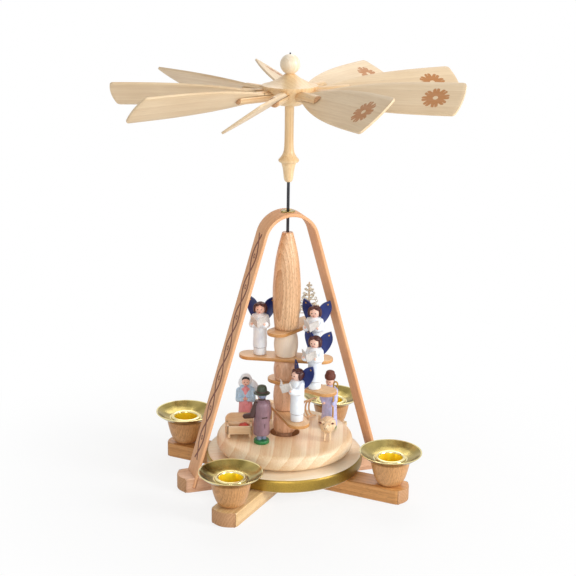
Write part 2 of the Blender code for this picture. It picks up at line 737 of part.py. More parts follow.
def step(index):
    """A plank with round ends that carries a figure, bored for the spindle."""
    high = STEP_HEIGHTS[index]
    low = high - STEP_THICKNESS
    outline = round_ended_outline(STEP_SHORT_REACHES[index], STEP_LONG_REACHES[index], STEP_WIDTH)
    bm = extrude_outline(outline, low, high)
    bevel_flat_rims(bm, STEP_EDGE)
    plank = add_object(f"step_{index + 1}", bm, beech())
    place(plank, 0, 0, 0, STEP_TURNS[index])
    cut(plank, rod_cutter(f"step_{index + 1}_bore", ROD_BORE_RADIUS, low - OVERRUN, high + OVERRUN))
    return plank


def wheel_core(spindle):
    """Stem, hub and ball on the spindle, with the blades on their pegs round them."""
    stem_top = HUB_FOOT_HEIGHT - SEAT_GAP
    stem = turned_on_rod("hub_stem", STEM_SHARES, STEM_RADIUS, STEM_FOOT_HEIGHT, stem_top, maple(), SMALL_SEGMENTS)
    ball = top_ball()
    hub = wheel_hub()
    for index in range(BLADE_COUNT):
        turn = BLADE_TURN + 360 / BLADE_COUNT * index
        mount = bpy.data.objects.new(f"blade_axis_{index + 1}", None)
        bpy.context.collection.objects.link(mount)
        mount.location = (0, 0, PEG_HEIGHT)
        pitch = Matrix.Rotation(math.radians(BLADE_PITCHES[index]), 3, "X")
        rise = Matrix.Rotation(math.radians(-BLADE_RISES[index]), 3, "Y")
        aim = Matrix.Rotation(math.radians(turn), 3, "Z") @ rise
        mount.rotation_euler = (aim @ pitch).to_euler()
        parent_to(mount, blade(index + 1), blade_peg(index + 1))
        parent_to(spindle, mount)
        socket = peg_body(f"peg_hole_{index + 1}", SEAT_GAP, steel())
        socket.location = (0, 0, PEG_HEIGHT)
        socket.rotation_euler = aim.to_euler()
        cut(hub, socket)
    return [stem, ball, hub]


def wheel_hub():
    """The turned hub: a cone on a rim, and a tapered boss that holds the pegs."""
    rim_top = HUB_RIM_HEIGHT + HUB_RIM_THICKNESS
    points = [(HUB_BOSS_RADIUS, HUB_FOOT_HEIGHT), (HUB_RADIUS - HUB_RIM_THICKNESS / 4, HUB_RIM_HEIGHT),
              (HUB_RADIUS, HUB_RIM_HEIGHT + HUB_RIM_THICKNESS / 4)]
    cone = share_points(HUB_CONE_SHARES, HUB_RADIUS, rim_top, HUB_TOP)
    bore = [(ROD_BORE_RADIUS, HUB_TOP), (ROD_BORE_RADIUS, HUB_FOOT_HEIGHT)]
    return turned("wheel_hub", points + cone + bore, maple(), BLADE_COUNT * 3)


def top_ball():
    """The ball that holds the hub down, bored for the spindle."""
    rings = 8
    start = math.asin(ROD_BORE_RADIUS / BALL_RADIUS)
    points = []
    for ring in range(rings + 1):
        angle = start + (math.pi - start * 2) * ring / rings
        points.append((BALL_RADIUS * math.sin(angle), BALL_HEIGHT - BALL_RADIUS * math.cos(angle)))
    return turned("top_ball", points, maple(), SMALL_SEGMENTS)


def blade_half_width(share):
    """Half the blade's width at a share of its length from the root."""
    return (BLADE_ROOT_WIDTH + (BLADE_WIDTH - BLADE_ROOT_WIDTH) * (1 - (1 - share) ** 3)) / 2


def blade(number):
    """A thin blade along X about its peg, with bowed edges and a bowed outer end."""
    length = BLADE_TIP_RADIUS - BLADE_END_BOW - BLADE_CORNER - BLADE_ROOT_RADIUS
    side = [(BLADE_ROOT_RADIUS + length * point / BLADE_EDGE_POINTS,
             blade_half_width(point / BLADE_EDGE_POINTS)) for point in range(BLADE_EDGE_POINTS + 1)]
    end_half = blade_half_width(1) - BLADE_CORNER
    end = []
    for point in range(-2, 3):
        share = point / 2
        end.append((BLADE_TIP_RADIUS - BLADE_END_BOW * share * share, end_half * share))
    lower = [(x, -y) for x, y in side]
    outline = lower + end + side[::-1]
    bm = extrude_outline(outline, -BLADE_THICKNESS / 2, BLADE_THICKNESS / 2)
    return add_object(f"blade_{number}", bm, lime_wood())


def peg_body(name, grow, finish):
    """A dowel along X with a thinner tenon and a rounded nose, or the hole for it if grown."""
    reach = PEG_OUTER_RADIUS + grow
    shoulder = PEG_SHOULDER_RADIUS - grow
    inner = PEG_INNER_RADIUS - grow
    tenon = PEG_TENON_RADIUS + grow
    radius = PEG_RADIUS + grow
    points = [(0, inner), (tenon, inner), (tenon, shoulder), (radius, shoulder), (radius, reach - PEG_NOSE),
              (radius * 0.82, reach - PEG_NOSE * 0.36), (radius * 0.45, reach), (0, reach)]
    bm = spin_profile(points, SMALL_SEGMENTS)
    bmesh.ops.rotate(bm, cent=(0, 0, 0), matrix=Matrix.Rotation(math.radians(90), 3, "Y"), verts=bm.verts)
    return add_object(name, bm, finish)


def blade_peg(number):
    """A peg sawn open at its outer end for the blade."""
    peg = peg_body(f"blade_peg_{number}", 0, maple())
    slot_start = BLADE_ROOT_RADIUS - SEAT_GAP
    slot_end = PEG_OUTER_RADIUS + OVERRUN
    size = (slot_end - slot_start, PEG_RADIUS * 3, BLADE_THICKNESS + SEAT_GAP * 2)
    slot = box_body(f"blade_slot_{number}", size, ((slot_end + slot_start) / 2, 0, 0), maple())
    parent_to(peg, slot)
    cut(peg, slot)
    return peg


def wing(name, side):
    """One leaf-shaped wing that stands up from the back and is swept back."""
    outline = [(WING_WIDTH * out, WING_HEIGHT * up) for out, up in WING_SHARES]
    bm = extrude_outline(outline, -WING_THICKNESS / 2, WING_THICKNESS / 2)
    if side < 0:
        bmesh.ops.scale(bm, vec=(-1, 1, 1), verts=bm.verts)
        bmesh.ops.reverse_faces(bm, faces=bm.faces)
    upright = Matrix.Rotation(math.radians(90), 3, "Z") @ Matrix.Rotation(math.radians(90), 3, "X")
    sweep = Matrix.Rotation(math.radians(WING_SWEEP * side), 3, "Z")
    bmesh.ops.rotate(bm, cent=(0, 0, 0), matrix=sweep @ upright, verts=bm.verts)
    bmesh.ops.translate(bm, vec=(-ANGEL_RADIUS / 4, 0, WING_BASE_HEIGHT), verts=bm.verts)
    return add_object(name, bm, blue_paint())


def open_book(name):
    """A folded sheet held out in front, its top tipped away."""
    half = math.radians(BOOK_OPENING)
    back = BOOK_LEAF * math.cos(half)
    side = BOOK_LEAF * math.sin(half)
    depth = BOOK_THICKNESS / math.sin(half)
    outline = [(0, 0), (-back, side), (-back - depth, side), (-depth, 0), (-back - depth, -side), (-back, -side)]
    bm = extrude_outline(outline[::-1], -BOOK_HEIGHT / 2, BOOK_HEIGHT / 2)
    lean = Matrix.Rotation(math.radians(BOOK_LEAN), 3, "Y")
    bmesh.ops.rotate(bm, cent=(0, 0, 0), matrix=lean, verts=bm.verts)
    bmesh.ops.translate(bm, vec=(BOOK_REACH, 0, BOOK_CENTRE_HEIGHT), verts=bm.verts)
    return add_object(name, bm, paper())


def angel(index):
    """A turned figure with two wings and an open book, facing +X before it is turned."""
    radius = ANGEL_RADIUS
    height = ANGEL_HEIGHT
    name = f"angel_{index + 1}"
    body = turned_solid(name, ROBE_SHARES, radius * 0.95, 0, height * ROBE_SHARE, white_paint())
    hair = ellipsoid(f"{name}_hair", (radius * 0.84, radius, radius * 0.80),
                     (-radius * 0.12, 0, height - radius * 0.80), hair_paint())
    face = ellipsoid(f"{name}_face", (radius * 0.66, radius * 0.70, radius * 0.74),
                     (radius * 0.26, 0, height - radius * 0.98), skin_paint())
    wings = [wing(f"{name}_wing_{side}", side) for side in (1, -1)]
    book = open_book(f"{name}_book")
    arms = []
    for side in (1, -1):
        hand = (BOOK_REACH - BOOK_LEAF * 0.62, side * radius * 0.80, BOOK_CENTRE_HEIGHT - BOOK_HEIGHT / 4)
        arms.append(limb(f"{name}_arm_{side}", (0, side * radius * 0.72, height * 0.70), hand,
                         radius * 0.42, radius * 0.32, white_paint()))
    join(body, hair, face, *wings, *arms, book)
    parent_to(body, hair, face, *wings, *arms, book)
    level = ANGEL_LEVELS[index]
    along = Matrix.Rotation(math.radians(STEP_TURNS[level]), 3, "Z")
    spot = along @ Vector((ANGEL_REACHES[index], ANGEL_OFFSETS[index], STEP_HEIGHTS[level] + SEAT_GAP))
    place(body, *spot, ANGEL_FACINGS[index])
    return body


def shavings_tree():
    """A small tree of curled shavings on the top step."""
    tree = turned_solid("shavings_tree", TREE_SHARES, TREE_RADIUS, 0, TREE_HEIGHT, shaving_wood())
    turn = math.radians(STEP_TURNS[-1])
    place(tree, TREE_REACH * math.cos(turn), TREE_REACH * math.sin(turn), STEP_HEIGHTS[-1] + SEAT_GAP)
    return tree


def figure_base(name, finish):
    """The round foot of a plate figure."""
    points = [(0, 0), (FIGURE_BASE_RADIUS, 0), (FIGURE_BASE_RADIUS, FIGURE_BASE_HEIGHT), (0, FIGURE_BASE_HEIGHT)]
    return turned(name, points, finish, FIGURE_SEGMENTS)


def man_in_hat():
    """A man in a long coat and a brimmed hat who leans to the crib."""
    radius = MAN_RADIUS
    height = MAN_HEIGHT
    coat_foot = height * 0.15
    coat_top = height * 0.76
    man = figure_base("man_in_hat", green_paint())
    legs = limb("man_legs", (0, 0, 0), (0, 0, height * 0.30), radius * 0.55, radius * 0.6, leg_paint(),
                FIGURE_SEGMENTS)
    coat = turned_solid("man_coat", COAT_SHARES, radius, coat_foot, coat_top, coat_paint())
    head = ellipsoid("man_head", (radius * 0.5, radius * 0.5, radius * 0.62), (0, 0, height * 0.81), skin_paint())
    hat_foot = height * 0.86
    brim = [(0, hat_foot), (radius * 0.92, hat_foot), (radius * 0.92, hat_foot + height * 0.02),
            (radius * 0.62, hat_foot + height * 0.04), (radius * 0.56, height * 0.98), (0, height)]
    hat = turned("man_hat", brim, hat_paint(), FIGURE_SEGMENTS)
    elbow = (radius * 0.25, radius * 1.15, height * 0.54)
    upper = limb("man_upper_arm", (0, radius * 0.70, height * 0.69), elbow, radius * 0.36, radius * 0.34,
                 sleeve_paint())
    lower = limb("man_fore_arm", elbow, (radius * 1.25, radius * 1.60, height * 0.42), radius * 0.36,
                 radius * 0.28, sleeve_paint())
    join(man, legs, coat, head, hat, upper, lower)
    parent_to(man, legs, coat, head, hat, upper, lower)
    place(man, *MAN_PLACE, FIGURE_FLOOR, MAN_FACING)
    return man


def woman_in_veil():
    """A woman in a long dress, a cape and a veil."""
    radius = WOMAN_RADIUS
    height = WOMAN_HEIGHT
    woman = turned_solid("woman_in_veil", DRESS_SHARES, radius, 0, height, dress_paint())
    cape = ellipsoid("woman_cape", (radius * 0.86, radius * 1.05, height * 0.21),
                     (-radius * 0.30, 0, height * 0.56), cape_paint())
    veil = ellipsoid("woman_veil", (radius * 0.62, radius * 0.80, height * 0.13),
                     (-radius * 0.20, 0, height * 0.87), white_paint())
    face = ellipsoid("woman_face", (radius * 0.46, radius * 0.48, radius * 0.56),
                     (radius * 0.22, 0, height * 0.855), skin_paint())
    join(woman, cape, veil, face)
    parent_to(woman, cape, veil, face)
    place(woman, *WOMAN_PLACE, FIGURE_FLOOR, WOMAN_FACING)
    return woman


def shepherd():
    """A shepherd in a coat and a fur hat, with a staff."""
    radius = SHEPHERD_RADIUS
    height = SHEPHERD_HEIGHT
    person = figure_base("shepherd", green_paint())
    coat = turned_solid("shepherd_coat", COAT_SHARES, radius, FIGURE_BASE_HEIGHT / 2, height * 0.76, lilac_paint())
    head = ellipsoid("shepherd_head", (radius * 0.5, radius * 0.5, radius * 0.62), (0, 0, height * 0.80), skin_paint())
    hat_foot = height * 0.86
    hat = turned("shepherd_hat", [(0, hat_foot), (radius * 0.66, hat_foot), (radius * 0.74, height * 0.92),
                                  (radius * 0.55, height), (0, height)], fur_paint(), FIGURE_SEGMENTS)
    hand = (radius * 0.80, radius * 0.80, height * 0.45)
    arm = limb("shepherd_arm", (0, radius * 0.60, height * 0.66), hand, radius * 0.36, radius * 0.28, lilac_paint())
    foot_place = (radius * 0.80, radius * 0.80)
    staff = limb("shepherd_staff", (*foot_place, 0), (*foot_place, STAFF_HEIGHT), STAFF_RADIUS, STAFF_RADIUS,
                 maple())
    join(person, coat, head, hat, arm, staff)
    parent_to(person, coat, head, hat, arm, staff)
    place(person, *SHEPHERD_PLACE, FIGURE_FLOOR, SHEPHERD_FACING)
    return person


def manger():
    """A small wooden crib with a rounded back and a blanket in its trough."""
    crib = box_body("manger", (MANGER_LENGTH, MANGER_DEPTH, MANGER_HEIGHT), (0, 0, MANGER_HEIGHT / 2), maple())
    inner = (MANGER_LENGTH - MANGER_WALL * 2, MANGER_DEPTH - MANGER_WALL * 2, MANGER_HEIGHT)
    trough = box_body("manger_trough", inner, (0, 0, MANGER_HEIGHT * 1.1), maple())
    half = MANGER_LENGTH / 2
    shoulder = MANGER_BACK_HEIGHT - half
    outline = [(-half, 0), (half, 0)] + arc(0, shoulder, half, 0, 180)
    bm = extrude_outline(outline, 0, MANGER_WALL * 1.5)
    bmesh.ops.rotate(bm, cent=(0, 0, 0), matrix=Matrix.Rotation(math.radians(90), 3, "X"), verts=bm.verts)
    back = add_object("manger_back", bm, maple())
    back.location = (0, MANGER_DEPTH / 2 + MANGER_WALL, 0)
    blanket = ellipsoid("manger_blanket", (inner[0] / 2, inner[1] / 2, MANGER_HEIGHT / 3),
                        (0, 0, MANGER_HEIGHT * 0.75), dress_paint())
    cut(crib, trough)
    join(crib, back, blanket)
    parent_to(crib, trough, back, blanket)
    place(crib, *MANGER_PLACE, FIGURE_FLOOR, MANGER_TURN)
    return crib


def hay_rack():
    """A low rack with upright bars between two rails."""
    rail = (RACK_WIDTH, RACK_DEPTH, RACK_BAR)
    rack = box_body("hay_rack", rail, (0, 0, RACK_BAR / 2), beech())
    top = box_body("hay_rack_top", rail, (0, 0, RACK_HEIGHT - RACK_BAR / 2), beech())
    bars = []
    pitch = (RACK_WIDTH - RACK_BAR) / (RACK_BARS - 1)
    for index in range(RACK_BARS):
        x = -RACK_WIDTH / 2 + RACK_BAR / 2 + pitch * index
        bars.append(box_body(f"hay_rack_bar_{index + 1}", (RACK_BAR, RACK_BAR * 2, RACK_HEIGHT - RACK_BAR),
                             (x, RACK_BAR - RACK_DEPTH / 2, RACK_HEIGHT / 2), beech()))
    join(rack, *bars, top)
    parent_to(rack, *bars, top)
    place(rack, *RACK_PLACE, FIGURE_FLOOR, RACK_TURN)
    return rack


def four_legged(name, height, place_xy, facing, finish, body_shares, head_shares, leg_shares):
    """A carved animal on four legs, facing +X before it is turned; the shares are of its height."""
    long_share, wide_share, deep_share, centre_share = body_shares
    ahead_share, up_share, head_share = head_shares
    along_share, aside_share, thick_share = leg_shares
    centre = height * centre_share
    body = ellipsoid(name, (height * long_share, height * wide_share, height * deep_share), (0, 0, centre), finish)
    head = ellipsoid(f"{name}_head", (height * head_share, height * head_share * 0.8, height * head_share),
                     (height * ahead_share, 0, height * up_share), finish, 10)
    legs = []
    for along in (1, -1):
        for side in (1, -1):
            foot_place = (height * along_share * along, height * aside_share * side)
            legs.append(limb(f"{name}_leg_{along}_{side}", (*foot_place, 0), (*foot_place, centre),
                             height * thick_share, height * thick_share, finish, 6))
    join(body, head, *legs)
    parent_to(body, head, *legs)
    place(body, *place_xy, FIGURE_FLOOR, facing)
    return body


def lying_lamb():
    """A small lamb that lies down."""
    lamb = ellipsoid("lying_lamb", (LAMB_LENGTH * 0.42, LAMB_LENGTH * 0.28, LAMB_HEIGHT * 0.36),
                     (0, 0, LAMB_HEIGHT * 0.36), maple(), 10)
    head = ellipsoid("lying_lamb_head", (LAMB_LENGTH * 0.20, LAMB_LENGTH * 0.16, LAMB_HEIGHT * 0.22),
                     (LAMB_LENGTH * 0.34, 0, LAMB_HEIGHT * 0.74), maple(), 8)
    join(lamb, head)
    parent_to(lamb, head)
    place(lamb, *LAMB_PLACE, FIGURE_FLOOR, LAMB_FACING)
    return lamb


def animals():
    """A sheep, a larger animal behind the column and a lamb that lies down."""
    sheep = four_legged("sheep", SHEEP_HEIGHT, SHEEP_PLACE, SHEEP_FACING, maple(), SHEEP_BODY_SHARES,
                        SHEEP_HEAD_SHARES, SHEEP_LEG_SHARES)
    ox = four_legged("standing_ox", OX_HEIGHT, OX_PLACE, OX_FACING, maple(), OX_BODY_SHARES,
                     OX_HEAD_SHARES, OX_LEG_SHARES)
    return [sheep, ox, lying_lamb()]


def main():
    clear_scene()
    foot()
    arch()
    arch_bush()
    base_disc()
    bearing_cup()
    candle_cups()
    drip_pans()
    spindle = bpy.data.objects.new("spindle_axis", None)
    bpy.context.collection.objects.link(spindle)
    carousel_parts(spindle)


main()
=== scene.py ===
"""The looks of a candle carousel, laid out as an add-on round its packed model.

The packed model is in metres, +Z up, with +X along the bar that carries the arch.
The shapes here are worked out in millimetres and made metres as each piece is finished.
"""

import json
import math
import random

import bmesh
import bpy
from bpy.props import FloatProperty, FloatVectorProperty, IntProperty, PointerProperty
from mathutils import Matrix, Vector

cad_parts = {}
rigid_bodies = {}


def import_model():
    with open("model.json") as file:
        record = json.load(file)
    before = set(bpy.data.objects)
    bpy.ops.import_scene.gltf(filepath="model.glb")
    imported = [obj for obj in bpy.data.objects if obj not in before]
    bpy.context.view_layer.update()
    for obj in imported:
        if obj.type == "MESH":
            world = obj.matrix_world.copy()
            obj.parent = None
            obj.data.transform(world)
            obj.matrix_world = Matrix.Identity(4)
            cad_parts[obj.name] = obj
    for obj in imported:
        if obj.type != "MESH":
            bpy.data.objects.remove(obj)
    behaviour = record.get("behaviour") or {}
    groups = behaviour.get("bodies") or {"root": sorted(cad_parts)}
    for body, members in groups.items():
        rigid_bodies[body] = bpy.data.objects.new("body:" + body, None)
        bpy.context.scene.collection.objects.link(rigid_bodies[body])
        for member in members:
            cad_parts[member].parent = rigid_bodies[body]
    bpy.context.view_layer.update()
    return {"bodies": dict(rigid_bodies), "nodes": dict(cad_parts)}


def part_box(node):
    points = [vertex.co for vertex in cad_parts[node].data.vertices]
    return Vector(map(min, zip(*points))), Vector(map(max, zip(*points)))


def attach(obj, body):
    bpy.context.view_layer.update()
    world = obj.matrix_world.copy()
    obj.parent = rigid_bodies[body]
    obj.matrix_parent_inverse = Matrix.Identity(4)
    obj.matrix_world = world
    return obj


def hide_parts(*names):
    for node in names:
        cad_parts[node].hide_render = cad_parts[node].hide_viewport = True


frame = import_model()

bl_info = {
    "name": "Candle carousel",
    "version": (1, 0, 0),
    "blender": (4, 5, 0),
    "location": "3D View > Sidebar > Carousel",
    "description": "Makes the wood, paint and brass of a heat-driven candle carousel",
    "category": "Add Mesh",
}

MILLIMETRE = 0.001
MERGE_DISTANCE = 0.0005
BASE = "base"
CAROUSEL = "carousel"
# Edges sharper than this many degrees are shaded as edges
SHARP_ANGLE = 38
PAN_SEGMENTS = 112

# Turned lines, as (share of the radius, share of the height) from the foot up
BARREL_LINE = ((0.83, 0.0), (0.93, 0.16), (1.0, 0.5), (0.93, 0.84), (0.83, 1.0))
COLUMN_FOOT_LINE = ((0.70, 0.0), (0.90, 0.10), (0.97, 0.26), (1.0, 0.55), (0.93, 0.86), (0.84, 1.0))
COLUMN_TOP_LINE = ((0.84, 0.0), (0.93, 0.14), (1.0, 0.36), (0.97, 0.50), (0.84, 0.70), (0.66, 0.84),
                   (0.44, 0.97), (0.38, 1.0))
STEM_LOW_LINE = ((0.30, 0.0), (0.40, 0.02), (0.46, 0.06), (0.55, 0.16), (0.72, 0.25))
STEM_HIGH_LINE = ((1.0, 0.29), (0.62, 0.36), (0.46, 0.46), (0.43, 0.74), (0.45, 1.0))
CUP_LINE = ((0.90, 0.0), (1.0, 0.012), (1.22, 0.042), (1.42, 0.12), (1.66, 0.29), (1.85, 0.51), (2.02, 0.77))
HUB_CONE_LINE = ((1.0, 0.0), (0.84, 0.09), (0.66, 0.27), (0.48, 0.48), (0.33, 0.69), (0.20, 0.93),
                 (0.15, 1.0))
WING_LINE = ((0.0, 0.0), (0.12, 0.30), (0.30, 0.46), (0.55, 0.50), (0.80, 0.38), (1.0, 0.0))

# Where the planks and the figures stand
STEP_TOPS = (44.4, 63.7, 79.0, 96.6)
STEP_THICKNESS = 2.3
STEP_GAP = 0.3
STEP_WIDTH = 13.6
STEP_LONG_REACHES = (30.0, 37.0, 28.8, 30.0)
STEP_SHORT_REACHES = (12.0, 12.0, 28.8, 14.5)
STEP_TURNS = (-89, -56, -27, 33)
ANGEL_LEVELS = (0, 1, 2, 2)
ANGEL_REACHES = (20.8, 23.2, 17.5, -16.0)
ANGEL_OFFSETS = (0.0, -1.9, -1.8, 0.0)
ANGEL_FACINGS = (199, 226, 236, 244)
TREE_REACH = 22.5
FIGURE_FLOOR = 29.6

# The wheel
BLADE_COUNT = 9
BLADE_TURN = -3.0
BLADE_RISES = (2.7, 1.2, 0.1, -0.5, -1.2, -0.6, 0.9, 1.8, 2.6)
BLADE_PITCHES = (32, 27, 31, 30, 35, 37, 36, 39, 33)
PEG_HEIGHT = 238.3

PLATE_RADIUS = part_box("turning_plate")[1].x / MILLIMETRE
DISC_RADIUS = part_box("base_disc")[1].x / MILLIMETRE

# What the finishes share: the lines of a wave texture lie this far apart at scale 1, year rings are drawn
# out along the grain to one over this share, and a streak is this many millimetres long
WAVE_SPACING = 0.314
RING_STRETCH = 0.06
STREAK_LENGTH = 26
# Only the strip's outside is burnt, which lies above this depth in millimetres
WAVE_DEPTH = -0.2


def linear(hex_colour):
    """An sRGB hex colour as linear red, green and blue."""
    shares = [int(hex_colour[place:place + 2], 16) / 255 for place in (1, 3, 5)]
    return tuple(share / 12.92 if share <= 0.04045 else ((share + 0.055) / 1.055) ** 2.4 for share in shares)


def colour_setting(name, description, hex_colour):
    """A colour that the sidebar shows."""
    return FloatVectorProperty(name=name, description=description, subtype="COLOR", min=0.0, max=1.0,
                               default=linear(hex_colour))


def size_setting(name, description, millimetres):
    """A length in millimetres that the sidebar shows."""
    return FloatProperty(name=name, description=description, min=0.0, soft_max=500.0, precision=2,
                         default=millimetres)


class WoodColours(bpy.types.PropertyGroup):
    """Colours of the bare and oiled woods."""

    lime: colour_setting("Lime veneer", "Early wood of the blades", "#EAD2AE")
    lime_deep: colour_setting("Lime veneer, late wood", "Darker streaks of the blades", "#D4B48A")
    maple: colour_setting("Maple", "Early wood of the turning plate", "#F8E4C2")
    maple_deep: colour_setting("Maple, late wood", "Darker streaks of the plate", "#DAA66C")
    golden: colour_setting("Golden maple", "Early wood of the hub and its stem", "#F4D8AA")
    golden_deep: colour_setting("Golden maple, late wood", "Darker streaks of the hub and stem", "#D4A468")
    pale_bar: colour_setting("Pale oiled beech", "Early wood of the paler foot bar", "#EBCC98")
    pale_bar_deep: colour_setting("Pale oiled beech, late wood", "Darker streaks of the paler bar", "#C8985C")
    pink_bar: colour_setting("Pink beech", "Early wood of the arch's foot bar", "#EEC29E")
    pink_bar_deep: colour_setting("Pink beech, late wood", "Darker streaks of the arch's bar", "#C08660")
    turned: colour_setting("Turned maple", "Early wood of the disc and the ball", "#FDF1DC")
    turned_deep: colour_setting("Turned maple, late wood", "Darker streaks of the turned maple", "#EACDA2")
    beech: colour_setting("Beech", "Early wood of the column", "#F2CA9E")
    beech_deep: colour_setting("Beech, late wood", "Darker streaks of the column", "#B0703C")
    cup: colour_setting("Cup beech", "Early wood of the cups and the pegs", "#DCA66C")
    cup_deep: colour_setting("Cup beech, late wood", "Darker streaks of the cups and the pegs", "#A06A34")
    # Also painted shade in the turning plate's recess
    end_grain: colour_setting("End grain", "The sawn ends of the bars", "#D6A87E")
    plank: colour_setting("Plank", "Early wood of the planks on the column", "#EEC99C")
    plank_deep: colour_setting("Plank, late wood", "Darker streaks of the planks", "#D29C66")
    limed: colour_setting("Limed beech", "The palest barrel of the column", "#F0DCCB")
    bent: colour_setting("Bent beech", "Early wood of the arch", "#F2BE90")
    bent_deep: colour_setting("Bent beech, late wood", "Darker streaks of the arch", "#CE8C58")
    bar: colour_setting("Oiled beech", "Early wood of the foot bars", "#E0A664")
    bar_deep: colour_setting("Oiled beech, late wood", "Darker streaks of the foot bars", "#B07030")
    flower: colour_setting("Burnt flower", "The flowers that are burnt in", "#B06C1E")
    wave: colour_setting("Burnt wave", "The wave that is burnt in", "#641E06")
    shaving: colour_setting("Wood shaving", "The curls of the little tree", "#FFFBEC")
    shaving_deep: colour_setting("Wood shaving, late wood", "Darker streaks of the curls", "#FBEFCC")


class PaintColours(bpy.types.PropertyGroup):
    """Colours of the figures' paint."""

    white: colour_setting("White", "Robes and sleeves", "#EEF4FF")
    navy: colour_setting("Dark blue", "Wings", "#0C2670")
    hair: colour_setting("Red brown", "Hair of the winged figures", "#4B1C18")
    skin: colour_setting("Pink", "Faces and hands", "#FFCCB8")
    paper: colour_setting("Paper", "Open books", "#D8D2CC")
    gold: colour_setting("Gold", "The dots on the wings and the crook", "#C6963C")
    # Painted shade: the robes' gold rings are darkened to this bronze
    bronze: colour_setting("Bronze", "The rings round the robes", "#6E5834")
    mauve: colour_setting("Mauve", "The long coat", "#8E6E78")
    olive: colour_setting("Olive", "The brimmed hat", "#3C4632")
    # Painted shade: on the left sleeve it stands for the mauve coat in shade
    umber: colour_setting("Dark brown", "The coat's sleeve", "#4A2F2C")
    slate: colour_setting("Grey blue", "Trousers and grey hair", "#8C98B4")
    leaf: colour_setting("Leaf green", "The feet of the plate's figures", "#1E7A3C")
    rose: colour_setting("Rose", "The dress", "#F09CA4")
    scarlet: colour_setting("Scarlet", "The blanket", "#D2493C")
    sky: colour_setting("Light blue", "The cape", "#BCDCF6")
    lilac: colour_setting("Lilac", "The shepherd's coat", "#C6C8F4")
    fur: colour_setting("Fur brown", "The shepherd's hat", "#6E3A2C")
    black: colour_setting("Black", "Eyes and the hair band", "#1A1412")
    red: colour_setting("Red", "Mouths", "#B8322C")


class MetalColours(bpy.types.PropertyGroup):
    """Colours of the metals and the lacquer."""

    brass: colour_setting("Brass", "Bright streaks of the pans", "#BEA967")
    # Painted reflection: the dark streaks of the pans
    brass_deep: colour_setting("Deep brass", "Dark streaks of the pans", "#7E6E3A")
    bright_brass: colour_setting("Bright brass", "Inside of the sockets", "#FFEE40")
    # Painted reflection and shade: the dark streaks inside the sockets
    bright_brass_deep: colour_setting("Bright brass, deep", "Dark streaks inside the sockets", "#F6C81C")
    # Painted highlight: the lip and the rim's edge of a pan
    pale_brass: colour_setting("Pale brass", "The polished lip and rim of a pan", "#EADBA4")
    steel: colour_setting("Steel", "The spindle", "#4A4A4E")
    gold_lacquer: colour_setting("Gold lacquer", "The side of the fixed disc", "#BC9A42")


class OrnamentSizes(bpy.types.PropertyGroup):
    """Sizes of what is burnt into the wood, in millimetres."""

    flower_radius: size_setting("Flower radius", "From the flower's middle to the tip of a petal", 7.9)
    flower_reach: size_setting("Flower reach", "From the spindle to the flower's middle", 88.0)
    flower_hole: size_setting("Flower hole", "Radius of the bare wood in the flower's middle", 1.5)
    petal_width: size_setting("Petal width", "Width of one petal", 3.9)
    petals: IntProperty(name="Petals", description="Number of petals", min=3, max=16, default=8)
    wave_start: size_setting("Wave start", "From the arch's crown to the wave's first crossing", 26.7)
    wave_pitch: size_setting("Wave pitch", "From one crossing to the next", 19.35)
    wave_width: size_setting("Wave width", "Widest gap between the two lines, centre to centre", 7.0)
    wave_line: size_setting("Wave line", "Width of a burnt line", 1.9)
    wave_loops: IntProperty(name="Loops", description="Number of closed loops on each leg", min=1, max=12,
                            default=7)


class ShapeSizes(bpy.types.PropertyGroup):
    """Sizes of the carousel's own parts that its looks are built from, in millimetres."""

    plate_radius: size_setting("Plate radius", "Radius of the turning plate", PLATE_RADIUS)
    disc_radius: size_setting("Disc radius", "Radius of the fixed disc", DISC_RADIUS)
    bar_width: size_setting("Bar width", "Width of a foot bar", 17.0)
    bar_thickness: size_setting("Bar thickness", "Thickness of a foot bar", 9.0)
    bar_end_bow: size_setting("Bar end bow", "How far a bar's end bows out", 3.6)
    candle_bar_reach: size_setting("Candle bar reach", "From the spindle to the end of a candle bar", 82.3)
    arch_bar_reach: size_setting("Arch bar reach", "From the spindle to the end of the arch's bar", 68.5)
    candle_circle: size_setting("Candle circle", "From the spindle to the middle of a candle", 70.5)
    socket_radius: size_setting("Socket radius", "Radius of the candle's socket", 7.0)
    pan_radius: size_setting("Pan radius", "Radius of a drip pan", 18.8)
    arch_thickness: size_setting("Arch thickness", "Thickness of the bent strip", 1.9)
    arch_width: size_setting("Arch width", "Width of the bent strip", 16.3)
    arch_crown: size_setting("Arch crown", "Height of the arch's outside at its crown", 169.1)
    arch_radius: size_setting("Arch radius", "Outer radius of the arch's crown", 17.5)
    arch_spread: size_setting("Arch spread", "From the spindle to the arch's outside at its foot", 59.7)
    blade_tip: size_setting("Blade tip", "From the spindle to the tip of a blade", 104.0)
    blade_root: size_setting("Blade root", "From the spindle to the inner end of a blade", 19.5)
    blade_width: size_setting("Blade width", "Width of a blade at its outer end", 26.8)
    blade_thickness: size_setting("Blade thickness", "Thickness of a blade", 1.3)
    angel_height: size_setting("Angel height", "Height of a winged figure without its wings", 33.0)
    angel_radius: size_setting("Angel radius", "Radius of a winged figure's robe", 4.5)


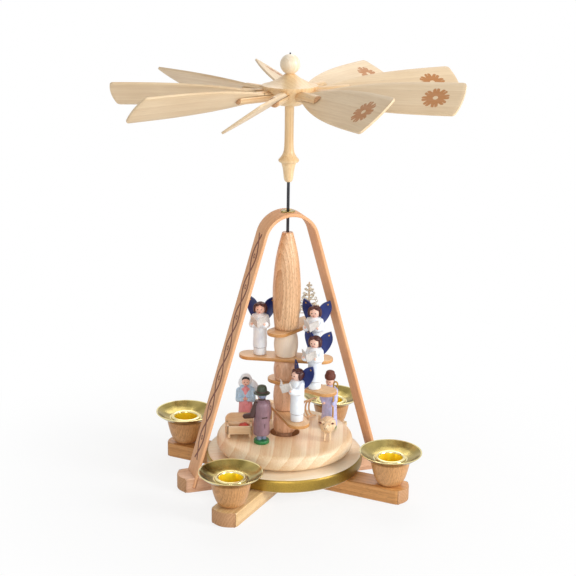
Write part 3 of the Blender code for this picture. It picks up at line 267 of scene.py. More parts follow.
class StageLook(bpy.types.PropertyGroup):
    """Camera, floor and lamps."""

    camera_place: FloatVectorProperty(name="Camera place", description="Where the camera stands",
                                      subtype="TRANSLATION", unit="LENGTH",
                                      default=(-0.2662, -0.7619, 0.3608))
    camera_aim: FloatVectorProperty(name="Camera aim", description="A point that the camera looks at",
                                    subtype="TRANSLATION", unit="LENGTH",
                                    default=(0.0001, -0.0018, 0.1222))
    camera_roll: FloatProperty(name="Camera roll", description="Turn about the line of sight",
                               subtype="ANGLE", default=math.radians(0.86))
    camera_lens: FloatProperty(name="Lens", description="Focal length", unit="CAMERA", default=87.69)
    floor: colour_setting("Floor", "The pale floor", "#F4F4F4")
    lamp_power: FloatProperty(name="Lamp power", description="Power of the main lamp", unit="POWER",
                              default=13.0)
    sky_strength: FloatProperty(name="Sky strength", description="Strength of the even light from all round",
                                default=0.44)


GROUPS = {
    "carousel_woods": WoodColours,
    "carousel_paints": PaintColours,
    "carousel_metals": MetalColours,
    "carousel_ornament": OrnamentSizes,
    "carousel_sizes": ShapeSizes,
    "carousel_stage": StageLook,
}


def set_inputs(tree, node, inputs):
    """Set a node's inputs to values, or link them to sockets or to the first outputs of other nodes."""
    for key, value in inputs.items():
        if isinstance(value, bpy.types.Node):
            value = value.outputs[0]
        if isinstance(value, bpy.types.NodeSocket):
            tree.links.new(value, node.inputs[key])
        else:
            node.inputs[key].default_value = value


def add_node(tree, kind, inputs=None, **settings):
    """Add a node, give it its settings, and set or link its inputs."""
    made = tree.nodes.new(kind)
    for name, value in settings.items():
        setattr(made, name, value)
    set_inputs(tree, made, inputs or {})
    return made


def new_finish(name, colour, roughness):
    """A material with its shader, ready for its pattern."""
    made = bpy.data.materials.new(name)
    made.use_nodes = True
    made.diffuse_color = (*colour, 1.0)
    shader = made.node_tree.nodes["Principled BSDF"]
    set_inputs(made.node_tree, shader, {"Base Color": (*colour, 1.0), "Roughness": roughness})
    return made, made.node_tree, shader


def dress(tree, shader, colour, pattern, roughness, relief, strength, depth):
    """Give a shader its colour, a roughness that follows a pattern, and its relief if it has one."""
    least, most = roughness
    rough = add_node(tree, "ShaderNodeMapRange", {"Value": pattern, "To Min": least, "To Max": most})
    set_inputs(tree, shader, {"Base Color": colour, "Roughness": rough})
    if relief:
        bump = add_node(tree, "ShaderNodeBump", {"Height": relief, "Strength": strength, "Distance": depth})
        set_inputs(tree, shader, {"Normal": bump})


def all_of(tree, masks):
    """1 where every mask is 1."""
    both, *others = masks
    for mask in others:
        both = add_node(tree, "ShaderNodeMath", {0: both, 1: mask}, operation="MULTIPLY")
    return both


def flower_mask(tree):
    """1 where the flower is burnt into a blade's upper face: split petals round a bare middle."""
    ornament = bpy.context.scene.carousel_ornament
    sizes = bpy.context.scene.carousel_sizes
    petals = ornament.petals
    place = add_node(tree, "ShaderNodeAttribute", attribute_name="flat").outputs["Vector"]
    middle = add_node(tree, "ShaderNodeVectorMath", {0: place, 1: (ornament.flower_reach, 0, 0)},
                      operation="SUBTRACT")
    along, across, up = add_node(tree, "ShaderNodeSeparateXYZ", {0: middle}).outputs
    level = add_node(tree, "ShaderNodeCombineXYZ", {0: along, 1: across})
    reach = add_node(tree, "ShaderNodeVectorMath", {0: level}, operation="LENGTH").outputs["Value"]
    # How far a point lies aside of its own petal's middle line, with the flower turned by a share of a petal
    turned_share = 0.3
    turn = add_node(tree, "ShaderNodeMath", {0: across, 1: along}, operation="ARCTAN2")
    count = add_node(tree, "ShaderNodeMath", {0: turn, 1: petals / math.tau, 2: petals + turned_share},
                     operation="MULTIPLY_ADD")
    share = add_node(tree, "ShaderNodeMath", {0: count}, operation="FRACT")
    petal_turn = add_node(tree, "ShaderNodeMath", {0: share, 1: math.tau / petals, 2: -math.pi / petals},
                          operation="MULTIPLY_ADD")
    sine = add_node(tree, "ShaderNodeMath", {0: petal_turn}, operation="SINE")
    side = add_node(tree, "ShaderNodeMath", {0: sine, 1: reach}, operation="MULTIPLY")
    aside = add_node(tree, "ShaderNodeMath", {0: side}, operation="ABSOLUTE")
    in_petal = add_node(tree, "ShaderNodeMath", {0: aside, 1: ornament.petal_width / 2},
                        operation="LESS_THAN")
    # Two round lobes to a petal: the tip draws in with the distance from each lobe's middle
    draw_in = -0.6
    lobe = add_node(tree, "ShaderNodeMath", {0: aside, 1: ornament.petal_width / 4}, operation="SUBTRACT")
    lobe_size = add_node(tree, "ShaderNodeMath", {0: lobe, 1: lobe}, operation="MULTIPLY")
    tip = add_node(tree, "ShaderNodeMath", {0: lobe_size, 1: draw_in, 2: ornament.flower_radius},
                   operation="MULTIPLY_ADD")
    in_tip = add_node(tree, "ShaderNodeMath", {0: reach, 1: tip}, operation="LESS_THAN")
    past_hole = add_node(tree, "ShaderNodeMath", {0: reach, 1: ornament.flower_hole},
                         operation="GREATER_THAN")
    # The slit down a petal opens towards its tip
    slit_start, slit_half = ornament.flower_radius * 0.68, 0.24
    slit_width = add_node(tree, "ShaderNodeMapRange", {"Value": reach, "From Min": slit_start,
                                                       "From Max": ornament.flower_radius,
                                                       "To Max": slit_half})
    past_slit = add_node(tree, "ShaderNodeMath", {0: aside, 1: slit_width}, operation="GREATER_THAN")
    on_top = add_node(tree, "ShaderNodeMath", {0: up, 1: sizes.blade_thickness / 4},
                      operation="GREATER_THAN")
    return all_of(tree, (in_petal, in_tip, past_hole, past_slit, on_top))


def wave_mask(tree):
    """1 where two crossing lines are burnt into the arch's outside, with a small ring in each loop."""
    ornament = bpy.context.scene.carousel_ornament
    pitch = ornament.wave_pitch
    place = add_node(tree, "ShaderNodeAttribute", attribute_name="flat").outputs["Vector"]
    along, across, up = add_node(tree, "ShaderNodeSeparateXYZ", {0: place}).outputs
    down = add_node(tree, "ShaderNodeMath", {0: along}, operation="ABSOLUTE")
    from_start = add_node(tree, "ShaderNodeMath", {0: down, 1: ornament.wave_start}, operation="SUBTRACT")
    loops = add_node(tree, "ShaderNodeMath", {0: from_start, 1: pitch}, operation="DIVIDE")
    turn = add_node(tree, "ShaderNodeMath", {0: loops, 1: math.pi}, operation="MULTIPLY")
    sine = add_node(tree, "ShaderNodeMath", {0: turn}, operation="SINE")
    swing = add_node(tree, "ShaderNodeMath", {0: sine}, operation="ABSOLUTE")
    gap = add_node(tree, "ShaderNodeMath", {0: swing, 1: ornament.wave_width / 2}, operation="MULTIPLY")
    aside = add_node(tree, "ShaderNodeMath", {0: across}, operation="ABSOLUTE")
    on_line = add_node(tree, "ShaderNodeMath", {0: aside, 1: gap, 2: ornament.wave_line / 2},
                       operation="COMPARE")
    # A ring in the middle of each closed loop, by its radius and half its line's width
    ring_radius, ring_half = 1.1, 0.4
    part = add_node(tree, "ShaderNodeMath", {0: loops}, operation="FRACT")
    from_middle = add_node(tree, "ShaderNodeMath", {0: part, 1: pitch, 2: -pitch / 2},
                           operation="MULTIPLY_ADD")
    spot = add_node(tree, "ShaderNodeCombineXYZ", {0: from_middle, 1: across})
    spot_reach = add_node(tree, "ShaderNodeVectorMath", {0: spot}, operation="LENGTH").outputs["Value"]
    ring = add_node(tree, "ShaderNodeMath", {0: spot_reach, 1: ring_radius, 2: ring_half},
                    operation="COMPARE")
    low = add_node(tree, "ShaderNodeMath", {0: loops, 1: 0.0}, operation="GREATER_THAN")
    high = add_node(tree, "ShaderNodeMath", {0: loops, 1: float(ornament.wave_loops)}, operation="LESS_THAN")
    rings = all_of(tree, (ring, low, high))
    lines = add_node(tree, "ShaderNodeMath", {0: on_line, 1: rings}, operation="MAXIMUM")
    # The lines run on past the last crossings as open forks, by a share of a loop
    fork_share = 0.22
    after = add_node(tree, "ShaderNodeMath", {0: loops, 1: -fork_share}, operation="GREATER_THAN")
    before = add_node(tree, "ShaderNodeMath", {0: loops, 1: ornament.wave_loops + fork_share},
                      operation="LESS_THAN")
    outside = add_node(tree, "ShaderNodeMath", {0: up, 1: WAVE_DEPTH}, operation="GREATER_THAN")
    return all_of(tree, (lines, after, before, outside))


def wood_finish(name, early, late, ring=2.8, ring_depth=0.4, streak=0.5, streak_depth=0.9,
                fleck=(2.2, 0.24), fleck_depth=0.3, roughness=0.4, coat=0.2, from_object=False, mask=None,
                burnt=None, see_through=0.0):
    """Planed wood: soft year rings, fine streaks along the grain, and short dark pores or ray flecks.

    The lengths are in millimetres. The grain runs along X of the piece's own "grain" attribute, or
    upright on a piece that was carved in the round.
    """
    woods = bpy.context.scene.carousel_woods
    early, late = getattr(woods, early), getattr(woods, late)
    made, tree, shader = new_finish(name, early, roughness)
    if from_object:
        here = add_node(tree, "ShaderNodeTexCoord").outputs["Object"]
        place = add_node(tree, "ShaderNodeMapping", {"Vector": here, "Rotation": (0, math.radians(90), 0),
                                                     "Scale": (1 / MILLIMETRE,) * 3})
    else:
        place = add_node(tree, "ShaderNodeAttribute", attribute_name="grain").outputs["Vector"]
    stretched = add_node(tree, "ShaderNodeMapping", {"Vector": place, "Scale": (RING_STRETCH, 1.0, 1.0)})
    rings = add_node(tree, "ShaderNodeTexWave",
                     {"Vector": stretched, "Scale": WAVE_SPACING / ring, "Distortion": 5.0, "Detail": 2.0,
                      "Detail Scale": 0.6}, wave_type="RINGS", rings_direction="X", wave_profile="SAW")
    fibre = add_node(tree, "ShaderNodeMapping",
                     {"Vector": place, "Scale": (1 / STREAK_LENGTH, 1 / streak, 1 / streak)})
    streaks = add_node(tree, "ShaderNodeTexNoise", {"Vector": fibre, "Scale": 1.0, "Detail": 3.0})
    # Broad patches, about 22 mm wide
    broad_scale, broad_depth = 0.045, 0.6
    broad = add_node(tree, "ShaderNodeTexNoise", {"Vector": place, "Scale": broad_scale, "Detail": 1.0})
    # Each pattern swings about a mean share of late wood
    mean_share = 0.36
    tone = mean_share - (ring_depth + streak_depth + broad_depth) / 2
    for pattern, depth in ((rings.outputs["Fac"], ring_depth), (streaks, streak_depth), (broad, broad_depth)):
        tone = add_node(tree, "ShaderNodeMath", {0: pattern, 1: depth, 2: tone}, operation="MULTIPLY_ADD")
    grown = add_node(tree, "ShaderNodeMix", {0: tone, 6: (*early, 1), 7: (*late, 1)}, data_type="RGBA")
    # Pores are the peaks of a fine noise, darker than the late wood and sunk into it
    length, width = fleck
    darker_share, pore_relief, burnt_relief = 0.45, -0.6, -2.0
    pores = add_node(tree, "ShaderNodeMapping",
                     {"Vector": place, "Scale": (1 / length, 1 / width, 1 / width)})
    peaks = add_node(tree, "ShaderNodeTexNoise", {"Vector": pores, "Scale": 1.0, "Detail": 0.0})
    specks = add_node(tree, "ShaderNodeMapRange", {"Value": peaks, "From Min": 0.60, "From Max": 0.72,
                                                   "To Max": fleck_depth})
    dark = tuple(value * darker_share for value in late)
    colour = add_node(tree, "ShaderNodeMix", {0: specks, 6: grown.outputs[2], 7: (*dark, 1)},
                      data_type="RGBA").outputs[2]
    height = add_node(tree, "ShaderNodeMath", {0: specks, 1: pore_relief, 2: streaks},
                      operation="MULTIPLY_ADD")
    if mask:
        pattern = mask(tree)
        charred = add_node(tree, "ShaderNodeMapRange", {"Value": streaks, "From Min": 0.2, "From Max": 0.8,
                                                        "To Min": 0.85, "To Max": 1.0})
        share = add_node(tree, "ShaderNodeMath", {0: pattern, 1: charred}, operation="MULTIPLY")
        colour = add_node(tree, "ShaderNodeMix", {0: share, 6: colour, 7: (*getattr(woods, burnt), 1)},
                          data_type="RGBA").outputs[2]
        height = add_node(tree, "ShaderNodeMath", {0: pattern, 1: burnt_relief, 2: height},
                          operation="MULTIPLY_ADD")
    dress(tree, shader, colour, streaks, (roughness - 0.06, roughness + 0.10), height, 0.25, 0.00008)
    set_inputs(tree, shader, {"Coat Weight": coat, "Coat Roughness": 0.3})
    if see_through:
        set_inputs(tree, shader, {"Subsurface Weight": see_through, "Subsurface Radius": (1.0, 0.9, 0.75),
                                  "Subsurface Scale": 0.002})
    return made


def paint_finish(name, colour, roughness, shade):
    """Brushed gouache or enamel on turned wood: a little uneven, and the grain's ridges show through."""
    made, tree, shader = new_finish(name, colour, roughness)
    place = add_node(tree, "ShaderNodeTexCoord").outputs["Object"]
    # Upright brush strokes, drawn 0.6 mm by 2.4 mm so that they show, and clouds 4 mm wide
    strokes = add_node(tree, "ShaderNodeMapping", {"Vector": place, "Scale": (1600, 1600, 420)})
    brush = add_node(tree, "ShaderNodeTexNoise", {"Vector": strokes, "Scale": 1.0, "Detail": 3.0})
    cloud = add_node(tree, "ShaderNodeTexNoise", {"Vector": place, "Scale": 240.0, "Detail": 2.0})
    both = add_node(tree, "ShaderNodeMath", {0: brush, 1: cloud}, operation="ADD")
    tone = add_node(tree, "ShaderNodeMapRange", {"Value": both, "From Min": 0.7, "From Max": 1.3})
    deep = tuple(value * shade for value in colour)
    light = tuple(min(1.0, value * 1.08 + 0.004) for value in colour)
    mixed = add_node(tree, "ShaderNodeMix", {0: tone, 6: (*deep, 1), 7: (*light, 1)}, data_type="RGBA")
    dress(tree, shader, mixed.outputs[2], cloud, (roughness - 0.08, roughness + 0.12), brush, 0.2, 0.00005)
    set_inputs(tree, shader, {"Coat Weight": 0.1, "Coat Roughness": 0.25})
    return made


def metal_finish(name, colour, roughness, groove=0.0, tarnish=0.25, deep=None, metallic=1.0):
    """Spun or drawn metal: fine tool marks round the piece, a little tarnish, and painted reflection streaks
    from its middle.
    """
    metals = bpy.context.scene.carousel_metals
    colour = getattr(metals, colour)
    made, tree, shader = new_finish(name, colour, roughness)
    shader.inputs["Metallic"].default_value = metallic
    place = add_node(tree, "ShaderNodeAttribute", attribute_name="flat").outputs["Vector"]
    # Patches of tarnish, about 5 mm wide
    patches = add_node(tree, "ShaderNodeTexNoise", {"Vector": place, "Scale": 0.22, "Detail": 3.0})
    dull = tuple(value * (1 - tarnish) for value in colour)
    share = add_node(tree, "ShaderNodeMapRange", {"Value": patches, "From Min": 0.35, "From Max": 0.7})
    mixed = add_node(tree, "ShaderNodeMix", {0: share, 6: (*colour, 1), 7: (*dull, 1)}, data_type="RGBA")
    if deep:
        # A painted reflection streak keeps its colour outwards, so it follows the heading and hardly the
        # reach
        heading = add_node(tree, "ShaderNodeVectorMath", {0: place, 1: (1, 1, 0)}, operation="MULTIPLY")
        unit = add_node(tree, "ShaderNodeVectorMath", {0: heading}, operation="NORMALIZE")
        drift = add_node(tree, "ShaderNodeVectorMath", {0: place, 1: (0.06, 0.06, 0.06)},
                         operation="MULTIPLY")
        moved = add_node(tree, "ShaderNodeVectorMath", {0: unit, 1: drift}, operation="ADD")
        # Each pan has streaks of its own, as its grain attribute is moved by its name
        own_place = add_node(tree, "ShaderNodeAttribute", attribute_name="grain").outputs["Vector"]
        own_move = add_node(tree, "ShaderNodeVectorMath", {0: own_place, 1: place}, operation="SUBTRACT")
        own = add_node(tree, "ShaderNodeVectorMath", {0: moved, 1: own_move}, operation="ADD")
        streaks = add_node(tree, "ShaderNodeTexNoise", {"Vector": own, "Scale": 0.8, "Detail": 1.0,
                                                        "Roughness": 0.6})
        depth = add_node(tree, "ShaderNodeMapRange", {"Value": streaks, "From Min": 0.3, "From Max": 0.7})
        mixed = add_node(tree, "ShaderNodeMix",
                         {0: depth, 6: mixed.outputs[2], 7: (*getattr(metals, deep), 1)}, data_type="RGBA")
    marks = None
    if groove:
        # Spinning marks are rings about the piece's own axis
        marks = add_node(tree, "ShaderNodeTexWave", {"Vector": place, "Scale": WAVE_SPACING / groove,
                                                     "Distortion": 0.6, "Detail": 2.0},
                         wave_type="RINGS", rings_direction="Z").outputs["Fac"]
    dress(tree, shader, mixed.outputs[2], patches, (roughness * 0.75, roughness * 1.35), marks, 0.3, 0.00005)
    return made


def lacquer_finish(name, colour, roughness):
    """Gold bronze paint on wood: half metallic, with fine grit and faint wear."""
    made, tree, shader = new_finish(name, colour, roughness)
    shader.inputs["Metallic"].default_value = 0.75
    place = add_node(tree, "ShaderNodeTexCoord").outputs["Object"]
    # The grit is drawn 0.6 mm wide, which is as fine as it can show, and the wear is 38 mm wide
    grit_share, deep_share = 0.35, 0.42
    grit = add_node(tree, "ShaderNodeTexNoise", {"Vector": place, "Scale": 1600.0, "Detail": 2.0})
    wear = add_node(tree, "ShaderNodeTexNoise", {"Vector": place, "Scale": 26.0, "Detail": 2.0})
    cloud = add_node(tree, "ShaderNodeMath", {0: grit, 1: grit_share, 2: wear}, operation="MULTIPLY_ADD")
    share = add_node(tree, "ShaderNodeMapRange", {"Value": cloud, "From Min": 0.5, "From Max": 0.85})
    deep = tuple(value * deep_share for value in colour)
    mixed = add_node(tree, "ShaderNodeMix", {0: share, 6: (*colour, 1), 7: (*deep, 1)}, data_type="RGBA")
    dress(tree, shader, mixed.outputs[2], wear, (roughness - 0.05, roughness + 0.12), grit, 0.4, 0.00006)
    return made


# Each wood by its colours' names in the sidebar and by what sets it apart from a plain oiled beech board
WOODS = {
    # Knife-cut lime: almost even, with faint streaks and no pores to speak of
    "lime_veneer": dict(early="lime", late="lime_deep", ring=8.0, ring_depth=0.3, streak=0.9,
                        fleck=(5.0, 0.35), fleck_depth=0.10, roughness=0.5, coat=0.1, mask=flower_mask,
                        burnt="flower"),
    # Sanded maple board: pale, with broad soft bands of darker growth
    "pale_maple": dict(early="maple", late="maple_deep", ring=6.5, ring_depth=0.45, streak=0.8,
                       streak_depth=0.8, fleck=(3.0, 0.25), fleck_depth=0.14, roughness=0.42),
    # Maple turned on the lathe: dense and pale, with fine lines along the axis
    "turned_maple": dict(early="turned", late="turned_deep", ring=2.6, ring_depth=0.3, streak=0.45,
                         streak_depth=0.8, fleck=(3.0, 0.2), fleck_depth=0.14, roughness=0.42),
    # The same maple under a warm varnish
    "golden_maple": dict(early="golden", late="golden_deep", ring=2.6, ring_depth=0.3, streak=0.45,
                         fleck=(3.0, 0.2), fleck_depth=0.14, coat=0.25),
    # Beech rubbed with oil, which deepens its streaks
    "oiled_beech": dict(early="bar", late="bar_deep", fleck_depth=0.35),
    # A board from the outside of the trunk takes the oil with a pale straw tone
    "pale_oiled_beech": dict(early="pale_bar", late="pale_bar_deep"),
    # Beech keeps a pink tone from steaming
    "pink_beech": dict(early="pink_bar", late="pink_bar_deep"),
    # Steamed beech: pinkish brown lines and arcs, flecked with short dark rays
    "steamed_beech": dict(early="beech", late="beech_deep", ring=1.5, ring_depth=0.5, streak=0.4,
                          streak_depth=1.0, fleck=(1.9, 0.24), fleck_depth=0.5, roughness=0.42, coat=0.25),
    # Beech turned upright: close dark lines run from foot to rim
    "cup_beech": dict(early="cup", late="cup_deep", ring=1.5, ring_depth=0.35, streak_depth=1.5,
                      fleck=(4.0, 0.2), fleck_depth=0.4, roughness=0.45, coat=0.15),
    # A beech dowel, paler than the cups
    "peg_beech": dict(early="golden", late="plank_deep", ring=1.5, ring_depth=0.3, streak_depth=1.0,
                      fleck=(3.0, 0.2), roughness=0.45, coat=0.15),
    # Sawn across the fibres, the wood drinks the oil and turns dull and dark; the same finish darkens the
    # plate's recess as painted shade
    "end_grain": dict(early="end_grain", late="cup_deep", ring=1.6, ring_depth=0.3, streak=0.3,
                      fleck=(0.3, 0.3), fleck_depth=0.4, roughness=0.6, coat=0.0),
    # A paler board of the same beech, cut along the grain
    "plank_beech": dict(early="plank", late="plank_deep", ring=3.4, ring_depth=0.35, streak=0.6,
                        fleck=(2.2, 0.25), roughness=0.42),
    # Beech under a thin white wash, which leaves only the grain
    "limed_beech": dict(early="limed", late="maple", ring=4.0, ring_depth=0.1, streak=0.7, fleck=(2.0, 0.3),
                        fleck_depth=0.12, roughness=0.5, coat=0.1),
    # The same beech, steam bent and left matt: its grain follows the strip
    "bent_beech": dict(early="bent", late="bent_deep", ring=4.0, ring_depth=0.2, streak=0.6,
                       fleck=(2.4, 0.25), fleck_depth=0.2, roughness=0.6, coat=0.0, mask=wave_mask,
                       burnt="wave"),
    # Maple that was carved and sanded in the round
    "carved_maple": dict(early="maple", late="maple_deep", ring=1.5, ring_depth=0.5, streak=0.4,
                         fleck=(1.5, 0.2), fleck_depth=0.2, roughness=0.5, coat=0.05, from_object=True),
    # Thin planed curls, which let some light through
    "lime_shaving": dict(early="shaving", late="shaving_deep", ring=1.2, ring_depth=0.3, streak=0.3,
                         fleck=(1.0, 0.2), fleck_depth=0.1, roughness=0.6, coat=0.0, from_object=True,
                         see_through=0.5),
}

# Each metal by its colours' names in the sidebar
METALS = {
    # Brass sheet spun over a form and polished: painted reflections, bright and dark streaks, fan out from
    # the middle
    "spun_brass": dict(colour="brass", deep="brass_deep", roughness=0.15, groove=0.45),
    # The rolled lip and the rim's edge, paler than the pan as a painted highlight
    "pale_brass": dict(colour="pale_brass", roughness=0.14, tarnish=0.15),
    # The socket's bright lining throws its own yellow back and forth: that bounced light is painted into its
    # colour, which outweighs its mirror, and its dark streaks are painted reflection and shade
    "polished_brass": dict(colour="bright_brass", deep="bright_brass_deep", roughness=0.2, tarnish=0.1,
                           metallic=0.3),
    # Blackened drawn wire
    "drawn_steel": dict(colour="steel", roughness=0.35),
}

# Paper and fur are painted without a shine, and white covers more evenly than a colour
DULL_PAINTS = ("paper_paint", "fur_paint")
PAINT_ROUGHNESS, DULL_ROUGHNESS = 0.42, 0.75
PAINT_SHADE, WHITE_SHADE = 0.8, 0.93


def finish_for(wanted):
    """The wanted material, made when it is first asked for."""
    name = f"{wanted}_look"
    if name in bpy.data.materials:
        return bpy.data.materials[name]
    if wanted in WOODS:
        return wood_finish(name, **WOODS[wanted])
    if wanted in METALS:
        return metal_finish(name, **METALS[wanted])
    if wanted == "gold_bronze_lacquer":
        return lacquer_finish(name, bpy.context.scene.carousel_metals.gold_lacquer, 0.34)
    colour = getattr(bpy.context.scene.carousel_paints, wanted.removesuffix("_paint"))
    return paint_finish(name, colour, DULL_ROUGHNESS if wanted in DULL_PAINTS else PAINT_ROUGHNESS,
                        WHITE_SHADE if wanted == "white_paint" else PAINT_SHADE)


def flow(points, steps=4):
    """A smooth line through points."""
    line = []
    padded = [points[0], *points, points[-1]]
    for index in range(1, len(padded) - 2):
        before, start, end, after = (Vector(padded[index + shift]) for shift in (-1, 0, 1, 2))
        square = 2 * before - 5 * start + 4 * end - after
        cube = 3 * start - before - 3 * end + after
        for step in range(steps):
            t = step / steps
            line.append(tuple(0.5 * (2 * start + (end - before) * t + square * t ** 2 + cube * t ** 3)))
    line.append(tuple(points[-1]))
    return line


def shares_to_points(shares, radius, low, high):
    """A turned line in millimetres, from shares of a radius and of a height."""
    return [(radius * across, low + (high - low) * up) for across, up in shares]


def paint_new_faces(bm, known, index):
    """Give every face that wasn't there before one of the piece's finishes."""
    for face in bm.faces:
        if face not in known:
            face.material_index = index


def paint_where(bm, test):
    """Give the second finish to every face whose middle and normal pass a test."""
    for face in bm.faces:
        if test(face.calc_center_median(), face.normal):
            face.material_index = 1


def fresh_verts(bm, known):
    """The corners of every face that wasn't there before."""
    return list({vert for face in bm.faces if face not in known for vert in face.verts})


def bevel(bm, geom, offset, segments, affect="EDGES"):
    """Round off edges or corners."""
    bmesh.ops.bevel(bm, geom=geom, offset=offset, segments=segments, affect=affect, profile=0.5, material=-1)


def thicken(bm, faces, step):
    """Give a sheet its thickness, by moving its extruded faces one step."""
    grown = bmesh.ops.extrude_face_region(bm, geom=faces)["geom"]
    verts = [item for item in grown if isinstance(item, bmesh.types.BMVert)]
    bmesh.ops.translate(bm, verts=verts, vec=step)


def span(edge, axis):
    """How far an edge reaches along an axis, given by its number."""
    first, last = edge.verts
    return abs(first.co[axis] - last.co[axis])


def turned(degrees, axis="Z"):
    """A turn about an axis."""
    return Matrix.Rotation(math.radians(degrees), 4, axis)


def heights(box):
    """Where the box of a packed piece starts and ends, in millimetres above the floor."""
    return [corner.z / MILLIMETRE for corner in box]


def add_turned(bm, profile, index=0, segments=96, closed=False):
    """Spin a line of (radius, height) points about Z."""
    known = set(bm.faces)
    verts = [bm.verts.new((radius, 0, height)) for radius, height in profile]
    pairs = list(zip(verts, verts[1:])) + ([(verts[-1], verts[0])] if closed else [])
    edges = [bm.edges.new(pair) for pair in pairs]
    bmesh.ops.spin(bm, geom=verts + edges, cent=(0, 0, 0), axis=(0, 0, 1), angle=math.tau, steps=segments,
                   use_merge=True)
    paint_new_faces(bm, known, index)
    bmesh.ops.remove_doubles(bm, verts=fresh_verts(bm, known), dist=MERGE_DISTANCE)


def add_ball(bm, radii, centre, index=0, segments=20, turn=Matrix()):
    """A rounded lump of three half sizes."""
    known = set(bm.faces)
    matrix = Matrix.Translation(centre) @ turn @ Matrix.Diagonal((*radii, 1.0))
    bmesh.ops.create_uvsphere(bm, u_segments=segments, v_segments=segments // 2, radius=1.0, matrix=matrix)
    paint_new_faces(bm, known, index)


def add_limb(bm, start, end, start_radius, end_radius, index=0, segments=16):
    """A tapered bar with round ends between two places."""
    known = set(bm.faces)
    start, end = Vector(start), Vector(end)
    aim = (end - start).to_track_quat("Z", "Y").to_matrix().to_4x4()
    bmesh.ops.create_cone(bm, cap_ends=False, segments=segments, radius1=start_radius, radius2=end_radius,
                          depth=(end - start).length, matrix=Matrix.Translation((start + end) / 2) @ aim)
    for centre, radius in ((start, start_radius), (end, end_radius)):
        bmesh.ops.create_uvsphere(bm, u_segments=segments, v_segments=segments // 2, radius=radius,
                                  matrix=Matrix.Translation(centre) @ aim)
    paint_new_faces(bm, known, index)


def add_block(bm, size, centre, index=0, ease=0.0):
    """A block, its edges eased a little."""
    known = set(bm.faces)
    made = bmesh.ops.create_cube(bm, size=1.0,
                                 matrix=Matrix.Translation(centre) @ Matrix.Diagonal((*size, 1.0)))
    if ease:
        bevel(bm, list({edge for vert in made["verts"] for edge in vert.link_edges}), ease, 2)
    paint_new_faces(bm, known, index)


def soften(bm, width, segments=2, angle=40):
    """Round off every edge that is sharper than an angle."""
    bm.normal_update()
    sharp = [edge for edge in bm.edges if edge.is_manifold and edge.calc_face_angle(0) > math.radians(angle)]
    bevel(bm, sharp, width, segments)


def round_ended_block(reach_back, reach_front, width, low, high, ease, corner):
    """A plank along X with rounded corners and eased rims."""
    bm = bmesh.new()
    add_block(bm, (reach_front + reach_back, width, high - low),
              ((reach_front - reach_back) / 2, 0, (low + high) / 2))
    bevel(bm, [edge for edge in bm.edges if span(edge, 2) > (high - low) / 2], corner, 14)
    bmesh.ops.remove_doubles(bm, verts=bm.verts, dist=MERGE_DISTANCE)
    soften(bm, ease, 3, 60)
    return bm


def bowed_bar(reach, width, high, ease, bow):
    """A bar along X whose ends bow out from corner to corner."""
    bm = bmesh.new()
    add_block(bm, (reach * 2, width, high), (0, 0, high / 2))
    across = [edge for edge in bm.edges if span(edge, 1) > width / 2]
    bmesh.ops.subdivide_edges(bm, edges=across, cuts=15, use_grid_fill=True)
    for vert in bm.verts:
        vert.co.x -= math.copysign(bow * (vert.co.y * 2 / width) ** 2, vert.co.x)
    corners = [edge for edge in bm.edges if span(edge, 2) > high / 2
               and min(abs(vert.co.y) for vert in edge.verts) > width / 2 - MERGE_DISTANCE]
    bevel(bm, corners, ease * 2.5, 6)
    soften(bm, ease, 3, 60)
    return bm


def arch_lean(sizes):
    """How far each leg of the arch leans from upright, in radians."""
    rise = sizes.arch_crown - sizes.arch_radius - sizes.bar_thickness
    reach = math.hypot(rise, sizes.arch_spread)
    return math.acos(sizes.arch_radius / reach) - math.atan2(rise, sizes.arch_spread)


def new_object(name, bm):
    """An object with a finished shape as its mesh."""
    mesh = bpy.data.meshes.new(name)
    bm.to_mesh(mesh)
    bm.free()
    made = bpy.data.objects.new(name, mesh)
    bpy.context.scene.collection.objects.link(made)
    return made


def carve(bm, blocks):
    """Cut blocks, each a size and a placing, out of a shape and give back what is left."""
    body = new_object("carved", bm)
    tools = []
    for size, placing in blocks:
        block = bmesh.new()
        add_block(block, size, (0, 0, 0))
        bmesh.ops.transform(block, matrix=placing, verts=block.verts)
        tools.append(new_object("block", block))
        modifier = body.modifiers.new("cut", "BOOLEAN")
        modifier.operation = "DIFFERENCE"
        modifier.solver = "MANIFOLD"
        modifier.object = tools[-1]
    left = bmesh.new()
    left.from_object(body, bpy.context.evaluated_depsgraph_get())
    for thing in (body, *tools):
        mesh = thing.data
        bpy.data.objects.remove(thing, do_unlink=True)
        bpy.data.meshes.remove(mesh)
    return left


def lay_grain(bm, name, axis):
    """Keep each point's own place, in millimetres, for the finishes: exact, and as in a board of its own."""
    flat = bm.verts.layers.float_vector.new("flat")
    grain = bm.verts.layers.float_vector.new("grain")
    chance = random.Random(name)
    # How far the middle of the trunk lies from the piece, along the grain and in the two ways across it
    heart = Vector([chance.uniform(*reach) for reach in ((0, 400), (30, 55), (14, 30))])
    for vert in bm.verts:
        x, y, z = vert.co
        vert[flat] = vert.co
        vert[grain] = Vector((z, x, y) if axis == "Z" else (x, y, z)) + heart


def piece(name, bm, finishes, body, stands_for=(), place=Matrix(), axis="X", laid=False):
    """Make a finished shape a piece of the carousel that rides on a body."""
    bmesh.ops.recalc_face_normals(bm, faces=bm.faces)
    if not laid:
        lay_grain(bm, name, axis)
    bmesh.ops.transform(bm, matrix=Matrix.Scale(MILLIMETRE, 4) @ place, verts=bm.verts)
    made = new_object(name, bm)
    for wanted in finishes:
        made.data.materials.append(finish_for(wanted))
    made.data.shade_smooth()
    made.data.set_sharp_from_angle(angle=math.radians(SHARP_ANGLE))
    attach(made, body)
    if stands_for:
        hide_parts(*stands_for)
    return made


